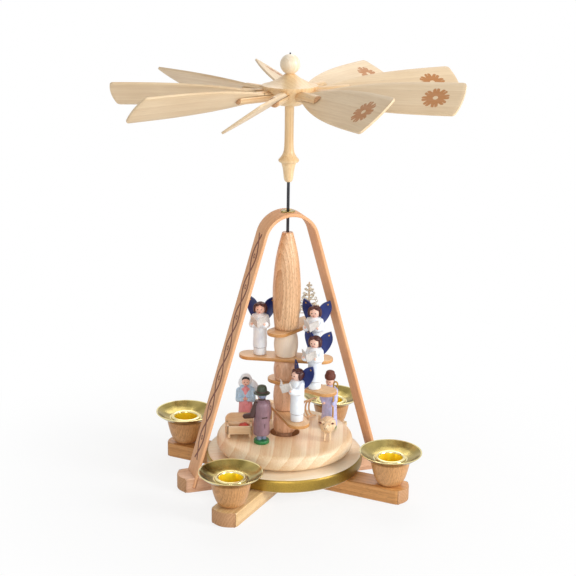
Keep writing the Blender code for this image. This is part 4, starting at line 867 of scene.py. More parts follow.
def candle_places():
    """Number and place of each candle, in millimetres."""
    reach = bpy.context.scene.carousel_sizes.candle_circle
    turns = [math.radians(45 + 90 * index) for index in range(4)]
    return [(index + 1, reach * math.cos(turn), reach * math.sin(turn)) for index, turn in enumerate(turns)]


class MakeFootBars(bpy.types.Operator):
    """Make the three lapped foot bars with bowed ends"""

    bl_idname = "carousel.foot_bars"
    bl_label = "Foot bars"

    def execute(self, context):
        sizes = context.scene.carousel_sizes
        # Each bar from the lowest up: its reach and turn, the bars that it crosses above and below, its wood
        bars = (("candle_bar_lower", sizes.candle_bar_reach, 45, (), (-45, 0), "pale_oiled_beech"),
                ("candle_bar_middle", sizes.candle_bar_reach, -45, (45,), (0,), "oiled_beech"),
                ("arch_bar", sizes.arch_bar_reach, 0, (45, -45), (), "pink_beech"))
        third, half = sizes.bar_thickness / len(bars), sizes.bar_thickness / 2
        gap, ease, end_depth = 0.15, 0.7, 1.0
        size = (sizes.bar_width * 3, sizes.bar_width + gap * 2, sizes.bar_thickness)
        for layer, (node, reach, turn, over, under, wood) in enumerate(bars):
            laps = [(crossing, third * layer + gap - half) for crossing in over]
            laps += [(crossing, third * (layer + 1) - gap + half) for crossing in under]
            blocks = [(size, turned(crossing - turn) @ Matrix.Translation((0, 0, height)))
                      for crossing, height in laps]
            if node == "arch_bar":
                blocks += [self.slot(sizes, side) for side in (1, -1)]
            bar = carve(bowed_bar(reach, sizes.bar_width, sizes.bar_thickness, ease, sizes.bar_end_bow),
                        blocks)
            bar.normal_update()
            end = reach - sizes.bar_end_bow - end_depth
            paint_where(bar, lambda middle, normal: abs(middle.x) > end and abs(normal.x) > 0.6)
            piece(f"{node}_wood", bar, [wood, "end_grain"], BASE, [node], turned(turn))
        return {"FINISHED"}

    def slot(self, sizes, side):
        """The sloping slot across the bar that one leg of the arch stands in."""
        lean = arch_lean(sizes)
        gap, below, over = 0.2, 6.3, 4.0
        outward = Vector((side * math.cos(lean), 0, math.sin(lean)))
        downward = Vector((side * math.sin(lean), 0, -math.cos(lean)))
        spot = Vector((side * sizes.arch_spread, 0, sizes.bar_thickness))
        spot -= outward * (sizes.arch_thickness / 2)
        spot += downward * (below - over) / 2
        size = (sizes.arch_thickness + gap * 2, sizes.bar_width * 2, below + over)
        return size, Matrix.Translation(spot) @ Matrix.Rotation(-side * lean, 4, "Y")


class MakeBaseDisc(bpy.types.Operator):
    """Make the fixed disc with its lacquered side, and finish the bearing in it"""

    bl_idname = "carousel.base_disc"
    bl_label = "Fixed disc"

    def execute(self, context):
        radius = context.scene.carousel_sizes.disc_radius
        low, high = heights(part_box("base_disc"))
        well_radius, well_floor = 4.3, high - 5.3
        side = flow([(radius - 1.4, low), (radius - 0.4, low + 1.5), (radius, low + 3.6),
                     (radius, low + 5.2), (radius - 0.3, low + 7.0), (radius - 0.9, high - 0.5)])
        bm = bmesh.new()
        add_turned(bm, [(0, low)] + side + [(radius - 2.1, high), (well_radius, high),
                                            (well_radius, well_floor), (0, well_floor)], segments=160)
        paint_where(bm, lambda middle, normal: middle.xy.length > radius - 1.3 and middle.z < high - 0.5)
        piece("base_disc_wood", bm, ["turned_maple", "gold_bronze_lacquer"], BASE,
              ["base_disc"])
        cup = frame["nodes"]["bearing_cup"]
        cup.data.materials.clear()
        cup.data.materials.append(finish_for("spun_brass"))
        return {"FINISHED"}


class MakeCandleHolders(bpy.types.Operator):
    """Make the turned cups and the spun brass pans with their sockets"""

    bl_idname = "carousel.candle_holders"
    bl_label = "Candle holders"

    def execute(self, context):
        sizes = context.scene.carousel_sizes
        foot, top, gap = 9.3, 24.8, 0.3
        for number, x, y in candle_places():
            place = Matrix.Translation((x, y, 0))
            piece(f"candle_cup_{number}_wood", self.cup(sizes.socket_radius, foot, top), ["cup_beech"], BASE,
                  [f"candle_cup_{number}"], place, axis="Z")
            piece(f"drip_pan_{number}_brass", self.pan(sizes.pan_radius, sizes.socket_radius, top + gap),
                  ["spun_brass", "pale_brass", "polished_brass"], BASE,
                  [f"drip_pan_{number}"], place)
        return {"FINISHED"}

    def cup(self, bore, foot, top):
        """A turned bowl with a round hole for the socket."""
        foot_radius, hole, floor = 5.6, bore + 0.9, top - 11.1
        bowl = shares_to_points(CUP_LINE, foot_radius, foot, top) + [(11.65, top - 1.6), (11.8, top - 0.5)]
        bm = bmesh.new()
        add_turned(bm, [(0, foot)] + flow(bowl) + [(11.3, top), (hole, top), (hole, floor), (0, floor)])
        return bm

    def pan(self, radius, bore, under):
        """A spun pan with a rolled rim, and the candle's socket with its lip in the middle."""
        rim, well, floor = under + 5.0, under - 10.5, under - 9.9
        seat = (bore + 3.2, under + 0.6)
        below = flow([(radius - 7.3, under), (radius - 3.9, under + 1.5), (radius - 1.2, under + 3.4),
                      (radius, rim - 0.5)])
        above = flow([(radius - 0.7, rim - 0.2), (radius - 1.8, rim - 1.0), (radius - 4.4, under + 2.2),
                      (radius - 7.3, under + 0.9), seat])
        lip = flow([(bore + 2.6, under + 0.62), (bore + 2.4, under + 1.3), (bore + 1.4, under + 1.75),
                    (bore + 0.4, under + 1.45), (bore, under + 0.8)])
        bm = bmesh.new()
        add_turned(bm, [(0, well), (bore + 0.6, well), (bore + 0.6, under)] + below
                   + [(radius - 0.05, rim - 0.12), (radius - 0.35, rim)] + above, 0, PAN_SEGMENTS)
        # The lip takes the pale brass as a painted highlight
        add_turned(bm, [seat] + lip, 1, PAN_SEGMENTS)
        add_turned(bm, [(bore, under + 0.8), (bore, floor + 0.5), (bore - 0.5, floor), (0, floor)], 2,
                   PAN_SEGMENTS)
        bmesh.ops.remove_doubles(bm, verts=bm.verts, dist=MERGE_DISTANCE)
        # The rim's edge takes the pale brass as a painted highlight
        paint_where(bm, lambda middle, normal: middle.xy.length > radius - 0.8 and middle.z > rim - 0.6)
        return bm


class MakeArch(bpy.types.Operator):
    """Bend a flat strip into the arch, and set the eyelet in its crown"""

    bl_idname = "carousel.bent_arch"
    bl_label = "Bent arch"

    def execute(self, context):
        sizes = context.scene.carousel_sizes
        foot = sizes.bar_thickness
        centre = sizes.arch_crown - sizes.arch_radius
        lean = arch_lean(sizes)
        quarter = sizes.arch_radius * (math.pi / 2 - lean)
        in_bar, bends, ease = 6.0, 239, 0.35
        leg = (centre + sizes.arch_radius * math.sin(lean) - foot + in_bar) / math.cos(lean)
        bm = bmesh.new()
        add_block(bm, ((quarter + leg) * 2, sizes.arch_width, sizes.arch_thickness),
                  (0, 0, -sizes.arch_thickness / 2))
        long_edges = [edge for edge in bm.edges if span(edge, 0) > leg]
        bmesh.ops.subdivide_edges(bm, edges=long_edges, cuts=bends, use_grid_fill=True)
        soften(bm, ease, 3, 60)
        lay_grain(bm, "arch", "X")
        for vert in bm.verts:
            along, depth = vert.co.x, vert.co.z
            side = math.copysign(1, along)
            turn = min(abs(along) / sizes.arch_radius, math.pi / 2 - lean)
            outward = Vector((side * math.sin(turn), 0, math.cos(turn)))
            downward = Vector((side * math.cos(turn), 0, -math.sin(turn)))
            spot = Vector((0, 0, centre)) + outward * (sizes.arch_radius + depth)
            spot += downward * max(0.0, abs(along) - quarter)
            vert.co = (spot.x, vert.co.y, spot.z)
        piece("arch_strip", bm, ["bent_beech"], BASE, ["arch"], laid=True)
        top = sizes.arch_crown
        rim = flow([(4.2, top + 0.02), (4.15, top + 0.28), (3.6, top + 0.5), (2.6, top + 0.55),
                    (1.6, top + 0.3), (1.25, top - 0.3)], 3)
        eyelet = bmesh.new()
        add_turned(eyelet, [(4.2, top - 0.5)] + rim + [(1.25, top - 2.0), (2.6, top - 2.0), (2.6, top - 0.5)],
                   segments=48, closed=True)
        piece("arch_eyelet", eyelet, ["spun_brass"], BASE, ["arch_bush"])
        return {"FINISHED"}


class MakeSpindle(bpy.types.Operator):
    """Make the steel rod with its pointed foot"""

    bl_idname = "carousel.spindle"
    bl_label = "Spindle"

    def execute(self, context):
        low, high = heights(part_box("spindle_rod"))
        radius = 0.9
        bm = bmesh.new()
        add_turned(bm, [(0, low), (radius, low + 2.0), (radius, high - 1.4), (0.5, high - 0.9), (0.4, high),
                        (0, high)], segments=24)
        piece("spindle_steel", bm, ["drawn_steel"], CAROUSEL, ["spindle_rod"])
        return {"FINISHED"}


class MakeTurningPlate(bpy.types.Operator):
    """Make the round plate with its full rounded edge and its recess"""

    bl_idname = "carousel.turning_plate"
    bl_label = "Turning plate"

    def execute(self, context):
        radius = context.scene.carousel_sizes.plate_radius
        low, high = heights(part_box("turning_plate"))
        edge = flow([(radius - 2.6, low), (radius - 1.0, low + 1.3), (radius - 0.1, low + 3.5),
                     (radius, low + 5.2), (radius - 0.5, low + 7.3), (radius - 1.4, low + 8.6),
                     (radius - 2.9, high)])
        recess, recess_floor, hole = 9.1, high - 6.0, 1.2
        bm = bmesh.new()
        add_turned(bm, edge + [(recess + 0.4, high), (recess, high - 0.4), (recess, recess_floor),
                               (hole, recess_floor), (hole, low)], segments=160, closed=True)
        # The recess's wall and floor take the dark end grain finish as painted shade, so that the recess
        # looks deeper
        paint_where(bm, lambda middle, normal: middle.xy.length < recess + 0.2 and middle.z < high - 0.3)
        # The board's grain runs away from the viewer, a little to the right
        grain_turn = 68
        piece("turning_plate_wood", bm, ["pale_maple", "end_grain"], CAROUSEL,
              ["turning_plate"], turned(grain_turn))
        return {"FINISHED"}


class MakeColumn(bpy.types.Operator):
    """Make the turned barrels of the column and the planks between them"""

    bl_idname = "carousel.column"
    bl_label = "Column and planks"

    def execute(self, context):
        parts = (("column_foot", COLUMN_FOOT_LINE, 7.2, "pink_beech", "steamed_beech"),
                 ("column_barrel_low", BARREL_LINE, 7.4, "pink_beech", "steamed_beech"),
                 ("column_barrel_middle", BARREL_LINE, 7.4, "pink_beech", "steamed_beech"),
                 ("column_barrel_high", BARREL_LINE, 7.4, "limed_beech", "steamed_beech"),
                 ("column_top", COLUMN_TOP_LINE, 8.5, "steamed_beech", "pale_maple"))
        spigot_radius, spigot_height = 4.6, 5.7
        for node, line, radius, wood, slot in parts:
            low, high = heights(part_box(node))
            shoulder = low
            profile = [(0, low)]
            if node == "column_foot":
                shoulder = low + spigot_height
                profile += [(spigot_radius, low), (spigot_radius, shoulder)]
            profile += flow(shares_to_points(line, radius, shoulder, high)) + [(0, high)]
            bm = bmesh.new()
            add_turned(bm, profile)
            soften(bm, 0.25, 2, 50)
            piece(f"{node}_wood", bm, [wood], CAROUSEL, [node], axis="Z")
        # A little less than half the width, so that the two rounded corners of an end don't meet
        corner, ease = STEP_WIDTH / 2 * 0.998, 0.45
        for index, top in enumerate(STEP_TOPS):
            bm = round_ended_block(STEP_SHORT_REACHES[index], STEP_LONG_REACHES[index], STEP_WIDTH,
                                   top - STEP_THICKNESS, top, ease, corner)
            bm.normal_update()
            # The planks' sides take the darker oiled beech as painted shade
            paint_where(bm, lambda middle, normal: abs(normal.z) < 0.5)
            piece(f"step_{index + 1}_plank", bm, ["plank_beech", "oiled_beech"], CAROUSEL,
                  [f"step_{index + 1}"], turned(STEP_TURNS[index]))
        return {"FINISHED"}


def add_wing(bm, side, index, dot_index, radius):
    """One leaf-shaped wing that leans out and is swept back, with a dot near its tip."""
    known = set(bm.faces)
    length, width, thick, bow = 17.6, 8.0, 0.9, 1.1
    made = bmesh.ops.create_grid(bm, x_segments=14, y_segments=6, size=0.5)
    line = flow(WING_LINE, 6)
    nearly = 0.0001
    for vert in made["verts"]:
        share = vert.co.x + 0.5
        half = 0.0
        for low, high in zip(line, line[1:]):
            if low[0] <= share <= high[0] + nearly:
                part = (share - low[0]) / max(high[0] - low[0], nearly)
                half = low[1] + (high[1] - low[1]) * part
                break
        height = bow * (1 - (vert.co.y * 2) ** 2) * math.sin(math.pi * share)
        vert.co = (share * length, vert.co.y * 2 * half * width, height)
    thicken(bm, [face for face in bm.faces if face not in known], (0, 0, -thick))
    paint_new_faces(bm, known, index)
    dot = set(bm.faces)
    bmesh.ops.create_uvsphere(bm, u_segments=12, v_segments=8, radius=0.75,
                              matrix=Matrix.Translation((length * 0.84, 0, 0.1)))
    paint_new_faces(bm, dot, dot_index)
    # The wing starts at the back below the shoulder, leans up and out, and is swept back
    pose = turned(24 * side) @ turned(90 * side) @ turned(-62, "Y") @ turned(-90 * side, "X")
    place = Matrix.Translation((-radius * 0.42, side * 0.4, 19.8))
    bmesh.ops.transform(bm, matrix=place @ pose, verts=fresh_verts(bm, known))


def add_book(bm, reach, height, index):
    """An open book: two leaves from a spine that points away, its top tipped forward."""
    known = set(bm.faces)
    leaf_depth, swell, half_width, tall, thick = 4.3, 0.5, 4.5, 5.8, 0.7
    made = bmesh.ops.create_grid(bm, x_segments=12, y_segments=3, size=0.5)
    for vert in made["verts"]:
        share = vert.co.x * 2
        leaf = abs(share)
        back = -leaf * leaf_depth - swell * math.sin(math.pi * leaf)
        vert.co = (back, share * half_width, vert.co.y * tall)
    thicken(bm, [face for face in bm.faces if face not in known], (thick, 0, 0))
    paint_new_faces(bm, known, index)
    bmesh.ops.transform(bm, matrix=Matrix.Translation((reach, 0, height)) @ turned(24, "Y"),
                        verts=fresh_verts(bm, known))


def add_face(bm, radius, centre, skin, eye, mouth):
    """A small painted face that looks along X: a ball with two dots and a mouth."""
    add_ball(bm, (radius * 0.94, radius, radius * 1.04), centre, skin, 24)
    for side in (1, -1):
        spot = (centre[0] + radius * 0.86, side * radius * 0.36, centre[2] + radius * 0.12)
        add_ball(bm, (radius * 0.08, radius * 0.12, radius * 0.13), spot, eye, 8)
    add_ball(bm, (radius * 0.08, radius * 0.20, radius * 0.10),
             (centre[0] + radius * 0.86, 0, centre[2] - radius * 0.40), mouth, 8)


class MakeAngels(bpy.types.Operator):
    """Make the four winged figures with their books"""

    bl_idname = "carousel.angels"
    bl_label = "Winged figures"

    def execute(self, context):
        sizes = context.scene.carousel_sizes
        height, radius = sizes.angel_height, sizes.angel_radius
        paints = ["white_paint", "navy_paint", "hair_paint", "skin_paint", "paper_paint", "gold_paint",
                  "bronze_paint", "black_paint", "red_paint"]
        white, navy, hair, skin, paper, gold, bronze, black, red = range(len(paints))
        for number, level in enumerate(ANGEL_LEVELS):
            bm = bmesh.new()
            foot = [(0, 0), (radius * 0.82, 0), (radius * 0.87, 0.3), (radius * 0.87, 4.3),
                    (radius * 0.82, 4.5), (radius * 0.80, 4.8)]
            robe = flow([(radius * 0.90, 5.1), (radius * 0.95, 5.6), (radius * 0.90, 14.5),
                         (radius * 0.96, 20.0), (radius * 1.0, 22.6), (radius * 0.88, 24.9),
                         (radius * 0.50, 26.1)], 5)
            add_turned(bm, foot + robe + [(0, 26.6)], white, 48)
            # The ring round the robe's foot is gold paint darkened as painted shade
            add_turned(bm, [(radius * 0.80, 4.45), (radius * 0.91, 4.55), (radius * 0.91, 5.0),
                            (radius * 0.80, 5.1)], bronze, 48, closed=True)
            head = (radius * 0.20, 0, height - 4.5)
            add_face(bm, radius * 0.66, head, skin, black, red)
            # A bob of hair that is wider than the face, parted and open in front
            add_ball(bm, (radius * 0.66, radius * 0.86, radius * 0.78), (-radius * 0.26, 0, height - 3.8),
                     hair, 24)
            for side in (1, -1):
                add_ball(bm, (radius * 0.36, radius * 0.42, radius * 0.26),
                         (radius * 0.22, side * radius * 0.34, height - 1.75), hair, 16)
                add_ball(bm, (radius * 0.34, radius * 0.26, radius * 0.60),
                         (radius * 0.08, side * radius * 0.72, height - 4.3), hair, 16)
                add_wing(bm, side, navy, gold, radius)
                shoulder = (radius * 0.05, side * radius * 0.80, 23.6)
                elbow = (radius * 0.55, side * radius * 0.98, 19.4)
                cuff = (radius * 1.45, side * radius * 0.78, 20.6)
                add_limb(bm, shoulder, elbow, 1.8, 2.1, white)
                add_limb(bm, elbow, cuff, 2.1, 2.3, white)
                add_ball(bm, (0.9, 0.9, 0.8), (radius * 1.86, side * radius * 0.84, 21.3), skin, 12)
            add_book(bm, 11.9, 22.5, paper)
            spot = turned(STEP_TURNS[level]) @ Vector((ANGEL_REACHES[number], ANGEL_OFFSETS[number],
                                                       STEP_TOPS[level] + STEP_GAP))
            piece(f"angel_{number + 1}_figure", bm, paints, CAROUSEL,
                  [f"angel_{number + 1}"], Matrix.Translation(spot) @ turned(ANGEL_FACINGS[number]))
        return {"FINISHED"}


def add_curl(bm, start, out, turn, reach, width, curl_radius):
    """One planed curl: a strip that leaves the stem and rolls up at its end."""
    made = [bm.verts.new((start, -width / 2, 0)), bm.verts.new((start, width / 2, 0))]
    edge = bm.edges.new(made)
    heading = math.radians(out)
    steps, straight_share, bend = 16, 0.35, math.radians(34)
    for step in range(steps):
        grown = bmesh.ops.extrude_edge_only(bm, edges=[edge])["geom"]
        edge = next(item for item in grown if isinstance(item, bmesh.types.BMEdge)
                    and len(item.link_faces) == 1 and all(vert not in made for vert in item.verts))
        share = step / steps
        stride = reach / steps
        if share >= straight_share:
            heading += bend
            stride = curl_radius * bend * (1.25 - share)
        bmesh.ops.translate(bm, verts=list(edge.verts),
                            vec=(math.cos(heading) * stride, 0, math.sin(heading) * stride))
        made += edge.verts
    bmesh.ops.transform(bm, matrix=turn, verts=made)


class MakeShavingsTree(bpy.types.Operator):
    """Make the little tree of planed curls on the top plank"""

    bl_idname = "carousel.shavings_tree"
    bl_label = "Shavings tree"

    def execute(self, context):
        bm = bmesh.new()
        chance = random.Random("tree")
        tiers, first, rise = 7, 3.8, 17.2
        for tier in range(tiers):
            share = tier / (tiers - 1)
            height = first + rise * share
            reach = 6.2 * (1 - share) ** 0.85 + 1.2
            count = round(6 - 2 * share)
            for index in range(count):
                turn = math.tau * (index + 0.5 * (tier % 2)) / count + chance.uniform(-0.12, 0.12)
                place = Matrix.Translation((0, 0, height)) @ Matrix.Rotation(turn, 4, "Z")
                add_curl(bm, 0.4, chance.uniform(2, 14), place, reach * 2.2, chance.uniform(1.2, 1.6),
                         reach * 0.14 + 0.4)
        turn = math.radians(STEP_TURNS[-1])
        spot = Matrix.Translation((TREE_REACH * math.cos(turn), TREE_REACH * math.sin(turn),
                                   STEP_TOPS[-1] + STEP_GAP))
        tree = piece("shavings_tree_curls", bm, ["lime_shaving"], CAROUSEL,
                     ["shavings_tree"], spot)
        wall = tree.modifiers.new("thickness", "SOLIDIFY")
        wall.thickness = 0.0002
        wall.offset = 0.0
        stem = bmesh.new()
        add_turned(stem, [(0, 0), (2.0, 0), (2.2, 0.3), (2.0, 0.9), (0.65, 1.4), (0.55, 23.2), (0, 24.0)],
                   segments=24)
        # Small dark buds stand on twigs in a spiral round the stem
        buds, bud, twig, spiral_share = 7, 0.42, 0.16, 0.382
        for index in range(buds):
            turn = math.tau * spiral_share * index
            height = 5.0 + 15.5 * index / (buds - 1)
            reach = 5.6 - 4.4 * index / (buds - 1)
            tip = (reach * math.cos(turn), reach * math.sin(turn), height)
            add_ball(stem, (bud, bud, bud), tip, 1, 10)
            add_limb(stem, (0, 0, height - 0.4), tip, twig, twig, 0, 8)
        piece("shavings_tree_stem", stem, ["turned_maple", "umber_paint"], CAROUSEL, (),
              spot, axis="Z")
        return {"FINISHED"}


def add_round_foot(bm, index):
    """The painted disc that a figure stands on."""
    add_turned(bm, [(0, 0), (4.6, 0), (4.7, 0.2), (4.7, 1.7), (4.5, 2.0), (0, 2.0)], index, 40)


class MakeManInHat(bpy.types.Operator):
    """Make the man in a long coat and a brimmed hat"""

    bl_idname = "carousel.man_in_hat"
    bl_label = "Man in a hat"

    def execute(self, context):
        paints = ["leaf_paint", "slate_paint", "mauve_paint", "umber_paint", "skin_paint", "olive_paint",
                  "black_paint", "red_paint"]
        leaf, slate, mauve, umber, skin, olive, black, red = range(len(paints))
        bm = bmesh.new()
        add_round_foot(bm, leaf)
        for side in (1, -1):
            add_limb(bm, (0, side * 1.5, 2.4), (0, side * 1.5, 10.0), 1.5, 1.7, slate)
            add_ball(bm, (2.0, 1.3, 0.9), (0.8, side * 1.5, 2.5), black, 12)
        coat = flow([(4.9, 5.6), (5.05, 7.0), (4.75, 14.0), (4.6, 19.0), (4.8, 22.5), (4.4, 25.2),
                     (2.6, 27.2), (1.6, 27.9)], 5)
        add_turned(bm, [(0, 5.8), (4.6, 5.5)] + coat + [(0, 28.1)], mauve, 48)
        add_turned(bm, [(1.4, 27.2), (2.3, 27.4), (2.2, 28.6), (1.4, 28.6)], umber, 32, closed=True)
        add_face(bm, 2.65, (0.2, 0, 30.0), skin, black, red)
        add_ball(bm, (2.5, 2.7, 2.3), (-0.55, 0, 30.4), slate, 24)
        hat = flow([(4.75, 31.5), (4.85, 31.8), (3.3, 32.3), (3.1, 32.8), (3.0, 34.6), (2.2, 36.3),
                    (0, 36.8)], 4)
        add_turned(bm, [(0, 31.6), (3.4, 31.7)] + hat, olive, 48)
        add_turned(bm, [(3.0, 32.3), (3.3, 32.3), (3.25, 33.2), (3.0, 33.2)], umber, 40, closed=True)
        # The left arm reaches out to the crib and the right one hangs down; the left sleeve is the mauve coat
        # painted dark brown as painted shade
        add_limb(bm, (0, 3.6, 25.0), (0.7, 5.9, 18.0), 1.9, 1.9, umber)
        add_limb(bm, (0.7, 5.9, 18.0), (6.0, 8.2, 15.8), 1.9, 1.6, umber)
        add_ball(bm, (1.1, 1.0, 0.9), (7.1, 8.6, 15.4), skin, 12)
        add_limb(bm, (0, -3.7, 25.0), (0.5, -4.9, 18.5), 1.8, 1.6, mauve)
        add_limb(bm, (0.5, -4.9, 18.5), (1.8, -4.8, 13.0), 1.6, 1.4, mauve)
        add_ball(bm, (1.0, 0.9, 1.0), (2.2, -4.7, 11.8), skin, 12)
        # The slit and the buttons' tab on the coat's back
        add_block(bm, (0.3, 0.45, 7.5), (-4.75, 0, 9.6), umber, ease=0.08)
        add_block(bm, (0.35, 3.4, 0.9), (-4.55, 0, 17.2), umber, ease=0.1)
        piece("man_in_hat_figure", bm, paints, CAROUSEL, ["man_in_hat"],
              Matrix.Translation((-19.3, -12.7, FIGURE_FLOOR)) @ turned(95))
        return {"FINISHED"}


class MakeWomanInVeil(bpy.types.Operator):
    """Make the woman in a long dress, a cape and a veil"""

    bl_idname = "carousel.woman_in_veil"
    bl_label = "Woman in a veil"

    def execute(self, context):
        paints = ["rose_paint", "sky_paint", "white_paint", "skin_paint", "black_paint", "red_paint"]
        rose, sky, white, skin, black, red = range(len(paints))
        bm = bmesh.new()
        dress = flow([(4.7, 0.0), (5.0, 0.8), (4.6, 8.0), (4.2, 16.0), (4.3, 21.0), (3.6, 25.0),
                      (1.5, 26.6)], 5)
        add_turned(bm, [(0, 0)] + dress + [(0, 27.0)], rose, 48)
        add_ball(bm, (5.2, 5.4, 7.0), (-0.5, 0, 20.4), sky, 32)
        add_limb(bm, (2.9, 0, 16.5), (2.3, 0, 25.0), 2.3, 1.9, rose)
        for side in (1, -1):
            add_limb(bm, (0.4, side * 4.0, 23.4), (2.4, side * 4.4, 18.4), 2.0, 1.9, sky)
            add_limb(bm, (2.4, side * 4.4, 18.4), (4.9, side * 1.9, 19.2), 1.8, 1.4, sky)
            add_ball(bm, (0.9, 0.9, 0.8), (5.4, side * 0.8, 19.7), skin, 12)
        add_face(bm, 2.5, (0.9, 0, 29.3), skin, black, red)
        add_ball(bm, (2.4, 2.7, 2.5), (0.0, 0, 30.4), black, 24)
        add_ball(bm, (3.0, 3.7, 4.2), (-1.3, 0, 29.9), white, 32)
        add_ball(bm, (1.5, 4.8, 4.6), (-2.6, 0, 27.4), white, 24)
        add_ball(bm, (1.3, 2.6, 4.8), (-2.2, 4.6, 26.2), white, 24, turned(38, "X"))
        piece("woman_in_veil_figure", bm, paints, CAROUSEL, ["woman_in_veil"],
              Matrix.Translation((-20.5, 15.5, FIGURE_FLOOR)) @ turned(250))
        return {"FINISHED"}


class MakeShepherd(bpy.types.Operator):
    """Make the shepherd with a fur hat and a crook"""

    bl_idname = "carousel.shepherd"
    bl_label = "Shepherd"

    def execute(self, context):
        paints = ["leaf_paint", "lilac_paint", "skin_paint", "fur_paint", "gold_paint", "black_paint",
                  "red_paint"]
        leaf, lilac, skin, fur, gold, black, red = range(len(paints))
        bm = bmesh.new()
        add_round_foot(bm, leaf)
        coat = flow([(4.9, 1.8), (5.1, 3.0), (4.7, 10.0), (4.5, 17.0), (4.8, 22.5), (4.3, 25.5),
                     (2.4, 27.6), (1.5, 28.3)], 5)
        add_turned(bm, [(0, 1.5), (4.6, 1.6)] + coat + [(0, 28.5)], lilac, 48)
        add_face(bm, 2.65, (0.2, 0, 30.2), skin, black, red)
        add_ball(bm, (2.4, 2.6, 2.4), (-0.5, 0, 30.4), fur, 20)
        hat = flow([(3.1, 32.1), (3.4, 33.0), (3.4, 34.4), (2.9, 35.2), (2.6, 36.6), (1.5, 37.4),
                    (0, 37.5)], 3)
        add_turned(bm, [(0, 32.1)] + hat, fur, 40)
        add_limb(bm, (0, 3.6, 25.0), (2.4, 4.6, 19.5), 1.8, 1.7, lilac)
        add_limb(bm, (2.4, 4.6, 19.5), (4.2, 4.2, 17.2), 1.7, 1.4, lilac)
        add_ball(bm, (1.1, 1.0, 1.1), (4.6, 4.2, 16.8), skin, 12)
        add_limb(bm, (0, -3.6, 25.0), (1.6, -4.4, 19.5), 1.8, 1.6, lilac)
        add_limb(bm, (1.6, -4.4, 19.5), (4.4, -2.2, 17.6), 1.6, 1.3, lilac)
        add_ball(bm, (1.0, 1.0, 0.9), (4.9, -1.6, 17.4), skin, 12)
        # The crook: a staff with a hook that is bent over at the top
        staff, reach, rise = 0.5, 1.4, 1.9
        top = Vector((4.3, 4.3, 30.5))
        add_limb(bm, (4.3, 4.3, 2.2), top, staff, staff, gold, 12)
        previous = top
        for step in range(1, 9):
            angle = math.radians(180 - 27 * step)
            spot = top + Vector((0, reach + reach * math.cos(angle), rise * math.sin(angle)))
            add_limb(bm, previous, spot, staff, staff, gold, 10)
            previous = spot
        piece("shepherd_figure", bm, paints, CAROUSEL, ["shepherd"],
              Matrix.Translation((28.4, -2.3, FIGURE_FLOOR)) @ turned(225))
        return {"FINISHED"}


def add_animal(bm, height, body_shares, head_shares, leg_shares, ear):
    """A carved animal on four legs that looks along X; the shares are of its height."""
    long_share, wide_share, deep_share, centre_share = body_shares
    ahead, up, head = (height * share for share in head_shares)
    along_share, aside_share, thick_share = leg_shares
    centre = height * centre_share
    thick = height * thick_share
    add_ball(bm, (height * long_share, height * wide_share, height * deep_share), (0, 0, centre), 0, 32)
    add_limb(bm, (height * long_share * 0.55, 0, centre + height * deep_share * 0.3), (ahead, 0, up),
             head * 0.95, head * 0.8)
    add_ball(bm, (head * 1.15, head * 0.8, head * 0.85), (ahead + head * 0.35, 0, up - head * 0.1), 0, 20,
             turned(20, "Y"))
    for side in (1, -1):
        add_ball(bm, (height * ear * 0.45, height * ear, height * ear * 0.5),
                 (ahead - head * 0.4, side * head * 0.95, up + head * 0.45), 0, 12)
        for along in (1, -1):
            foot = (height * along_share * along, height * aside_share * side)
            add_limb(bm, (*foot, thick), (*foot, centre), thick, thick * 1.1)


class MakeAnimals(bpy.types.Operator):
    """Make the carved sheep, lamb and ox"""

    bl_idname = "carousel.animals"
    bl_label = "Carved animals"

    def execute(self, context):
        herd = (("sheep", 15.7, (0.40, 0.32, 0.31, 0.66), (0.44, 0.80, 0.15), (0.12, 0.10, 0.036),
                 (20.0, -21.8), 242, 0.12),
                ("standing_ox", 17.5, (0.42, 0.20, 0.23, 0.62), (0.40, 0.80, 0.17), (0.28, 0.11, 0.06),
                 (-6.2, 16.0), 205, 0.12))
        for node, height, body, head, legs, spot, facing, ear in herd:
            place = Matrix.Translation((*spot, FIGURE_FLOOR)) @ turned(facing)
            bm = bmesh.new()
            add_animal(bm, height, body, head, legs, ear)
            self.carve_as_one(bm, f"{node}_carving", node, place)
            ahead, up, size = (height * share for share in head)
            face = bmesh.new()
            for side in (1, -1):
                eye = (ahead + size * 0.55, side * size * 0.72, up + size * 0.28)
                nostril = (ahead + size * 1.42, side * size * 0.22, up - size * 0.45)
                tuft = (ahead - size * 0.34, side * size * 1.45, up + size * 0.42)
                add_ball(face, (0.3, 0.3, 0.35), eye, 0, 10)
                add_ball(face, (0.3, 0.25, 0.2), nostril, 0, 10)
                add_ball(face, (size * 0.3, size * 0.5, size * 0.26), tuft, 1, 12)
            piece(f"{node}_face", face, ["black_paint", "fur_paint"], CAROUSEL, (), place)
        lamb = bmesh.new()
        add_ball(lamb, (2.7, 1.8, 2.0), (0, 0, 2.0), 0, 24)
        add_ball(lamb, (1.4, 1.0, 1.1), (2.2, 0, 4.1), 0, 20)
        for side in (1, -1):
            add_ball(lamb, (0.4, 0.8, 0.4), (1.7, side * 1.1, 4.4), 0, 10)
            add_limb(lamb, (1.4, side * 1.1, 0.6), (3.0, side * 0.9, 0.5), 0.5, 0.45)
        self.carve_as_one(lamb, "lying_lamb_carving", "lying_lamb",
                          Matrix.Translation((26.8, 7.8, FIGURE_FLOOR)) @ turned(240))
        return {"FINISHED"}

    def carve_as_one(self, bm, name, node, place):
        """Fuse the lumps into one softly carved skin."""
        made = piece(name, bm, ["carved_maple"], CAROUSEL, [node], place)
        skin = made.modifiers.new("one skin", "REMESH")
        skin.mode = "VOXEL"
        skin.voxel_size = 0.00028
        skin.use_smooth_shade = True
        eased = made.modifiers.new("ease", "SMOOTH")
        eased.iterations = 3


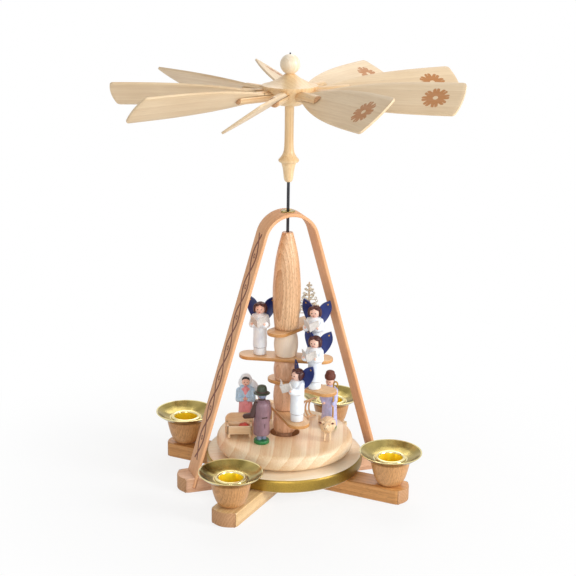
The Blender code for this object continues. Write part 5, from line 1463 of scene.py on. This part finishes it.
class MakeManger(bpy.types.Operator):
    """Make the crib with its rounded back and its blanket"""

    bl_idname = "carousel.manger"
    bl_label = "Crib"

    def execute(self, context):
        length, depth, height, wall = 15.5, 9.5, 7.5, 1.4
        board, middle, post, corner = height - 2.4, height / 2 + 1.2, height - 1.0, 1.3
        bm = bmesh.new()
        for side in (1, -1):
            add_block(bm, (length, wall, board), (0, side * (depth - wall) / 2, middle), ease=0.25)
            add_block(bm, (wall, depth, board), (side * (length - wall) / 2, 0, middle), ease=0.25)
            for end in (1, -1):
                add_block(bm, (1.6, 1.6, post),
                          (end * (length / 2 - corner), side * (depth / 2 - corner), post / 2), ease=0.2)
        add_block(bm, (length - 1, depth - 1, 1.2), (0, 0, 3.2), ease=0.2)
        known = set(bm.faces)
        back, overhang = 12.6, 0.7
        place = Matrix.Translation((0, depth / 2 + wall / 2, back / 2))
        board = bmesh.ops.create_cube(bm, size=1.0, matrix=place
                                      @ Matrix.Diagonal((length + overhang * 2, wall, back, 1.0)))
        corners = [edge for edge in {edge for vert in board["verts"] for edge in vert.link_edges}
                   if all(vert.co.z > back / 2 for vert in edge.verts) and span(edge, 0) < wall / 2]
        bevel(bm, corners, 4.2, 10)
        paint_new_faces(bm, known, 0)
        known = set(bm.faces)
        # The blanket swells up over what lies in the crib and has shallow folds
        sheet = bmesh.ops.create_grid(bm, x_segments=24, y_segments=14, size=0.5)
        for vert in sheet["verts"]:
            x, y = vert.co.x * 2, vert.co.y * 2
            swell = (1 - x ** 4) * (1 - y ** 4)
            fold = 0.25 * math.sin(x * 7 + y * 2) + 0.15 * math.sin(y * 9 - x * 3)
            vert.co = (length * 0.19 + x * (length * 0.31 - wall), y * (depth / 2 - wall),
                       4.6 + 3.2 * swell + fold * swell)
        paint_new_faces(bm, known, 1)
        piece("manger_wood", bm, ["pale_maple", "scarlet_paint"], CAROUSEL, ["manger"],
              Matrix.Translation((-29.0, 1.5, FIGURE_FLOOR)) @ turned(-15))
        return {"FINISHED"}


class MakeHayRack(bpy.types.Operator):
    """Make the feeding rack with its bowed ribs"""

    bl_idname = "carousel.hay_rack"
    bl_label = "Hay rack"

    def execute(self, context):
        width, depth, height, rod = 6.4, 6.0, 12.6, 0.55
        left, right, front, rear = -width / 2, width / 2, -depth / 2, depth / 2
        bm = bmesh.new()
        # Each rib is a bent hoop, and each stands behind and to the right of the one before
        ribs, steps = 4, 12
        for index in range(ribs):
            share = index / (ribs - 1) - 0.5
            x, y = share * width, share * depth
            previous = None
            for step in range(steps + 1):
                turn = math.pi * (step / steps - 0.5)
                spot = Vector((x - width * 0.5 * math.cos(turn), y,
                               height / 2 + (height / 2 - rod) * math.sin(turn)))
                if previous is not None:
                    add_limb(bm, previous, spot, rod, rod, 0, 12)
                previous = spot
        # Rails tie the ribs' ends together at the foot and at the top
        for level in (rod, height - rod):
            for start, end in (((left, front), (right, rear)), ((left, front), (left + 3.0, front)),
                               ((right, rear), (right + 1.2, rear))):
                add_limb(bm, (*start, level), (*end, level), rod, rod, 0, 12)
        piece("hay_rack_wood", bm, ["plank_beech"], CAROUSEL, ["hay_rack"],
              Matrix.Translation((21.5, 16.0, FIGURE_FLOOR)) @ turned(-19), axis="Z")
        return {"FINISHED"}


class MakeHub(bpy.types.Operator):
    """Make the turned stem, hub and ball"""

    bl_idname = "carousel.hub"
    bl_label = "Stem, hub and ball"

    def execute(self, context):
        low, high = heights(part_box("hub_stem"))
        radius = 6.1
        collar = [(radius * 0.93, low + (high - low) * 0.262), (radius, low + (high - low) * 0.275)]
        stem = bmesh.new()
        add_turned(stem, [(0, low)] + flow(shares_to_points(STEM_LOW_LINE, radius, low, high)) + collar
                   + flow(shares_to_points(STEM_HIGH_LINE, radius, low, high)) + [(0, high)], segments=64)
        piece("hub_stem_wood", stem, ["golden_maple"], CAROUSEL, ["hub_stem"], axis="Z")
        foot, rim, rim_top, top, radius = 232.2, 240.3, 243.5, 250.2, 16.2
        bowl = flow([(7.0, foot + 0.2), (10.6, foot + 2.6), (13.6, rim - 1.4), (15.4, rim + 0.9),
                     (radius, rim_top - 0.2)])
        cone = flow(shares_to_points(HUB_CONE_LINE, radius, rim_top, top))
        hub = bmesh.new()
        add_turned(hub, [(0, foot), (6.8, foot)] + bowl + cone + [(0, top)])
        piece("wheel_hub_wood", hub, ["golden_maple"], CAROUSEL, ["wheel_hub"], axis="Z")
        ball_radius, ball_height = 5.8, 255.5
        ball = bmesh.new()
        add_ball(ball, (ball_radius,) * 3, (0, 0, ball_height), 0, 48)
        piece("top_ball_wood", ball, ["turned_maple"], CAROUSEL, ["top_ball"], axis="Z")
        return {"FINISHED"}


class MakeBlades(bpy.types.Operator):
    """Make the nine blades with their burnt flowers, and their pegs"""

    bl_idname = "carousel.blades"
    bl_label = "Blades and pegs"

    def execute(self, context):
        sizes = context.scene.carousel_sizes
        for index in range(BLADE_COUNT):
            number = index + 1
            aim = (Matrix.Translation((0, 0, PEG_HEIGHT)) @ turned(BLADE_TURN + 360 / BLADE_COUNT * index)
                   @ turned(-BLADE_RISES[index], "Y") @ turned(BLADE_PITCHES[index], "X"))
            body = f"blade_mount_{number}"
            piece(f"blade_{number}_veneer", self.blade(sizes), ["lime_veneer"], body,
                  [f"blade_{number}"], aim)
            piece(f"blade_peg_{number}_wood", self.peg(sizes), ["peg_beech", "end_grain"], body,
                  [f"blade_peg_{number}"], aim)
        return {"FINISHED"}

    def blade(self, sizes):
        """A thin blade along X: it widens from its root, and its end is bowed."""
        bm = bmesh.new()
        made = bmesh.ops.create_grid(bm, x_segments=36, y_segments=8, size=0.5)
        bow, root_width, corner, ease = 1.6, 6.2, 2.0, 0.22
        length = sizes.blade_tip - bow - sizes.blade_root
        for vert in made["verts"]:
            share = vert.co.x + 0.5
            side = vert.co.y * 2
            half = (root_width + (sizes.blade_width - root_width) * (1 - (1 - share) ** 3)) / 2
            reach = sizes.blade_root + length * share + bow * (1 - side * side) * share ** 6
            vert.co = (reach, half * side, -sizes.blade_thickness / 2)
        corners = [vert for vert in bm.verts if len(vert.link_edges) == 2 and vert.co.x > sizes.blade_tip / 2]
        bevel(bm, corners, corner, 6, "VERTICES")
        thicken(bm, list(bm.faces), (0, 0, sizes.blade_thickness))
        bmesh.ops.recalc_face_normals(bm, faces=bm.faces)
        soften(bm, ease, 2, 60)
        return bm

    def peg(self, sizes):
        """A dowel along X with a rounded nose, sawn open for the blade."""
        radius, tenon, start, shoulder = 3.1, 1.8, 8.0, 11.2
        nose = flow([(radius, 34.8), (2.85, 36.0), (2.2, 36.9), (1.2, 37.2), (0, 37.25)], 3)
        bm = bmesh.new()
        add_turned(bm, [(0, start), (tenon, start), (tenon, shoulder), (2.9, shoulder), (radius, 11.5)]
                   + nose, 0, 40)
        bmesh.ops.transform(bm, matrix=turned(90, "Y"), verts=bm.verts)
        cut_length, cut_width, cut_middle, cut_gap = 20.0, 8.0, 29.2, 0.5
        cut = ((cut_length, cut_width, sizes.blade_thickness + cut_gap),
               Matrix.Translation((cut_middle, 0, 0)))
        split = carve(bm, [cut])
        nose_start = 36.0
        paint_where(split, lambda middle, normal: middle.x > nose_start)
        return split


class MakeStage(bpy.types.Operator):
    """Make the floor, the lamps and the camera"""

    bl_idname = "carousel.stage"
    bl_label = "Stage"

    def execute(self, context):
        look = context.scene.carousel_stage
        shape = bmesh.new()
        bmesh.ops.create_grid(shape, x_segments=1, y_segments=1, size=9.0)
        floor = new_object("floor", shape)
        paper, tree, shader = new_finish("studio_paper", look.floor, 0.9)
        shader.inputs["Specular IOR Level"].default_value = 0.1
        spot = add_node(tree, "ShaderNodeTexCoord").outputs["Object"]
        reach = add_node(tree, "ShaderNodeVectorMath", {0: spot}, operation="LENGTH").outputs["Value"]
        # Away from the carousel the floor is plain white, and near it the shadow shows
        fade = add_node(tree, "ShaderNodeMapRange", {"Value": reach, "From Min": 0.08, "From Max": 0.24,
                                                     "To Min": 0.8, "To Max": 1.0},
                        interpolation_type="SMOOTHSTEP")
        share = add_node(tree, "ShaderNodeMath", {0: self.seen(tree), 1: fade}, operation="MULTIPLY")
        glow = add_node(tree, "ShaderNodeEmission", {"Color": (1, 1, 1, 1), "Strength": 1.0})
        mixed = add_node(tree, "ShaderNodeMixShader", {0: share, 1: shader, 2: glow})
        set_inputs(tree, tree.nodes["Material Output"], {"Surface": mixed})
        floor.data.materials.append(paper)
        self.sky(context, look)
        # Each lamp: its place, its width in metres, and its share of the main lamp's power
        for name, place, width, power_share in (("main_lamp", (0.95, -0.90, 0.62), 0.5, 1.0),
                                                ("front_lamp", (-0.45, -1.15, 0.50), 0.5, 0.30),
                                                ("back_lamp", (0.35, 0.80, 1.05), 0.8, 0.35)):
            self.lamp(context, name, place, width, look.lamp_power * power_share)
        self.camera(context, look)
        context.scene.view_settings.view_transform = "Standard"
        return {"FINISHED"}

    def seen(self, tree):
        """1 for rays from the camera, off something glossy and through something clear."""
        path = add_node(tree, "ShaderNodeLightPath").outputs
        seen = add_node(tree, "ShaderNodeMath", {0: path["Is Camera Ray"], 1: path["Is Glossy Ray"]},
                        operation="MAXIMUM")
        return add_node(tree, "ShaderNodeMath", {0: seen, 1: path["Is Transmission Ray"]},
                        operation="MAXIMUM")

    def sky(self, context, look):
        """Even light from all round, which cameras and gloss see as white."""
        world = bpy.data.worlds.new("studio")
        world.use_nodes = True
        tree = world.node_tree
        strength = add_node(tree, "ShaderNodeMapRange", {"Value": self.seen(tree),
                                                         "To Min": look.sky_strength, "To Max": 1.0})
        set_inputs(tree, tree.nodes["Background"], {"Color": (1, 1, 1, 1), "Strength": strength})
        context.scene.world = world

    def lamp(self, context, name, place, size, power):
        """A square soft lamp that points at the carousel's middle."""
        light = bpy.data.lights.new(name, "AREA")
        light.shape = "SQUARE"
        light.size = size
        light.energy = power
        lamp = bpy.data.objects.new(name, light)
        lamp.location = place
        middle = Vector((0, 0, 0.13))
        lamp.rotation_euler = (middle - Vector(place)).to_track_quat("-Z", "Y").to_euler()
        context.scene.collection.objects.link(lamp)

    def camera(self, context, look):
        """The photograph's view."""
        place, aim = Vector(look.camera_place), Vector(look.camera_aim)
        ahead = (aim - place).normalized()
        right = ahead.cross(Vector((0, 0, 1))).normalized()
        up = right.cross(ahead)
        roll = look.camera_roll
        right, up = right * math.cos(roll) + up * math.sin(roll), up * math.cos(roll) - right * math.sin(roll)
        data = bpy.data.cameras.new("camera")
        data.sensor_width = 36.0
        data.lens = look.camera_lens
        data.clip_start = 0.01
        data.clip_end = 50.0
        camera = bpy.data.objects.new("camera", data)
        context.scene.collection.objects.link(camera)
        camera.matrix_world = Matrix.Translation(place) @ Matrix((right, up, -ahead)).transposed().to_4x4()
        context.scene.camera = camera


OPERATORS = (MakeFootBars, MakeBaseDisc, MakeCandleHolders, MakeArch, MakeSpindle, MakeTurningPlate,
             MakeColumn, MakeAngels, MakeShavingsTree, MakeManInHat, MakeWomanInVeil, MakeShepherd,
             MakeAnimals, MakeManger, MakeHayRack, MakeHub, MakeBlades, MakeStage)


class CarouselPanel(bpy.types.Panel):
    """Lists the carousel's settings and the operators that make its pieces"""

    bl_idname = "VIEW3D_PT_candle_carousel"
    bl_label = "Candle carousel"
    bl_space_type = "VIEW_3D"
    bl_region_type = "UI"
    bl_category = "Carousel"

    def draw(self, context):
        for name, group in GROUPS.items():
            box = self.layout.box()
            box.label(text=group.__doc__)
            for setting in group.__annotations__:
                box.prop(getattr(context.scene, name), setting)
        for operator in OPERATORS:
            self.layout.operator(operator.bl_idname)


def register():
    for group in GROUPS.values():
        bpy.utils.register_class(group)
    for operator in OPERATORS:
        bpy.utils.register_class(operator)
    bpy.utils.register_class(CarouselPanel)
    for name, group in GROUPS.items():
        setattr(bpy.types.Scene, name, PointerProperty(type=group))


def unregister():
    for name in GROUPS:
        delattr(bpy.types.Scene, name)
    bpy.utils.unregister_class(CarouselPanel)
    for operator in reversed(OPERATORS):
        bpy.utils.unregister_class(operator)
    for group in reversed(tuple(GROUPS.values())):
        bpy.utils.unregister_class(group)


def clear_start_scene():
    """Take away the lamp, camera and cube that a new file may hold."""
    kept = set(frame["nodes"].values()) | set(frame["bodies"].values())
    for thing in list(bpy.data.objects):
        if thing not in kept:
            bpy.data.objects.remove(thing, do_unlink=True)


def main():
    register()
    clear_start_scene()
    for operator in OPERATORS:
        group, name = operator.bl_idname.split(".")
        getattr(getattr(bpy.ops, group), name)()


if __name__ == "__main__":
    main()
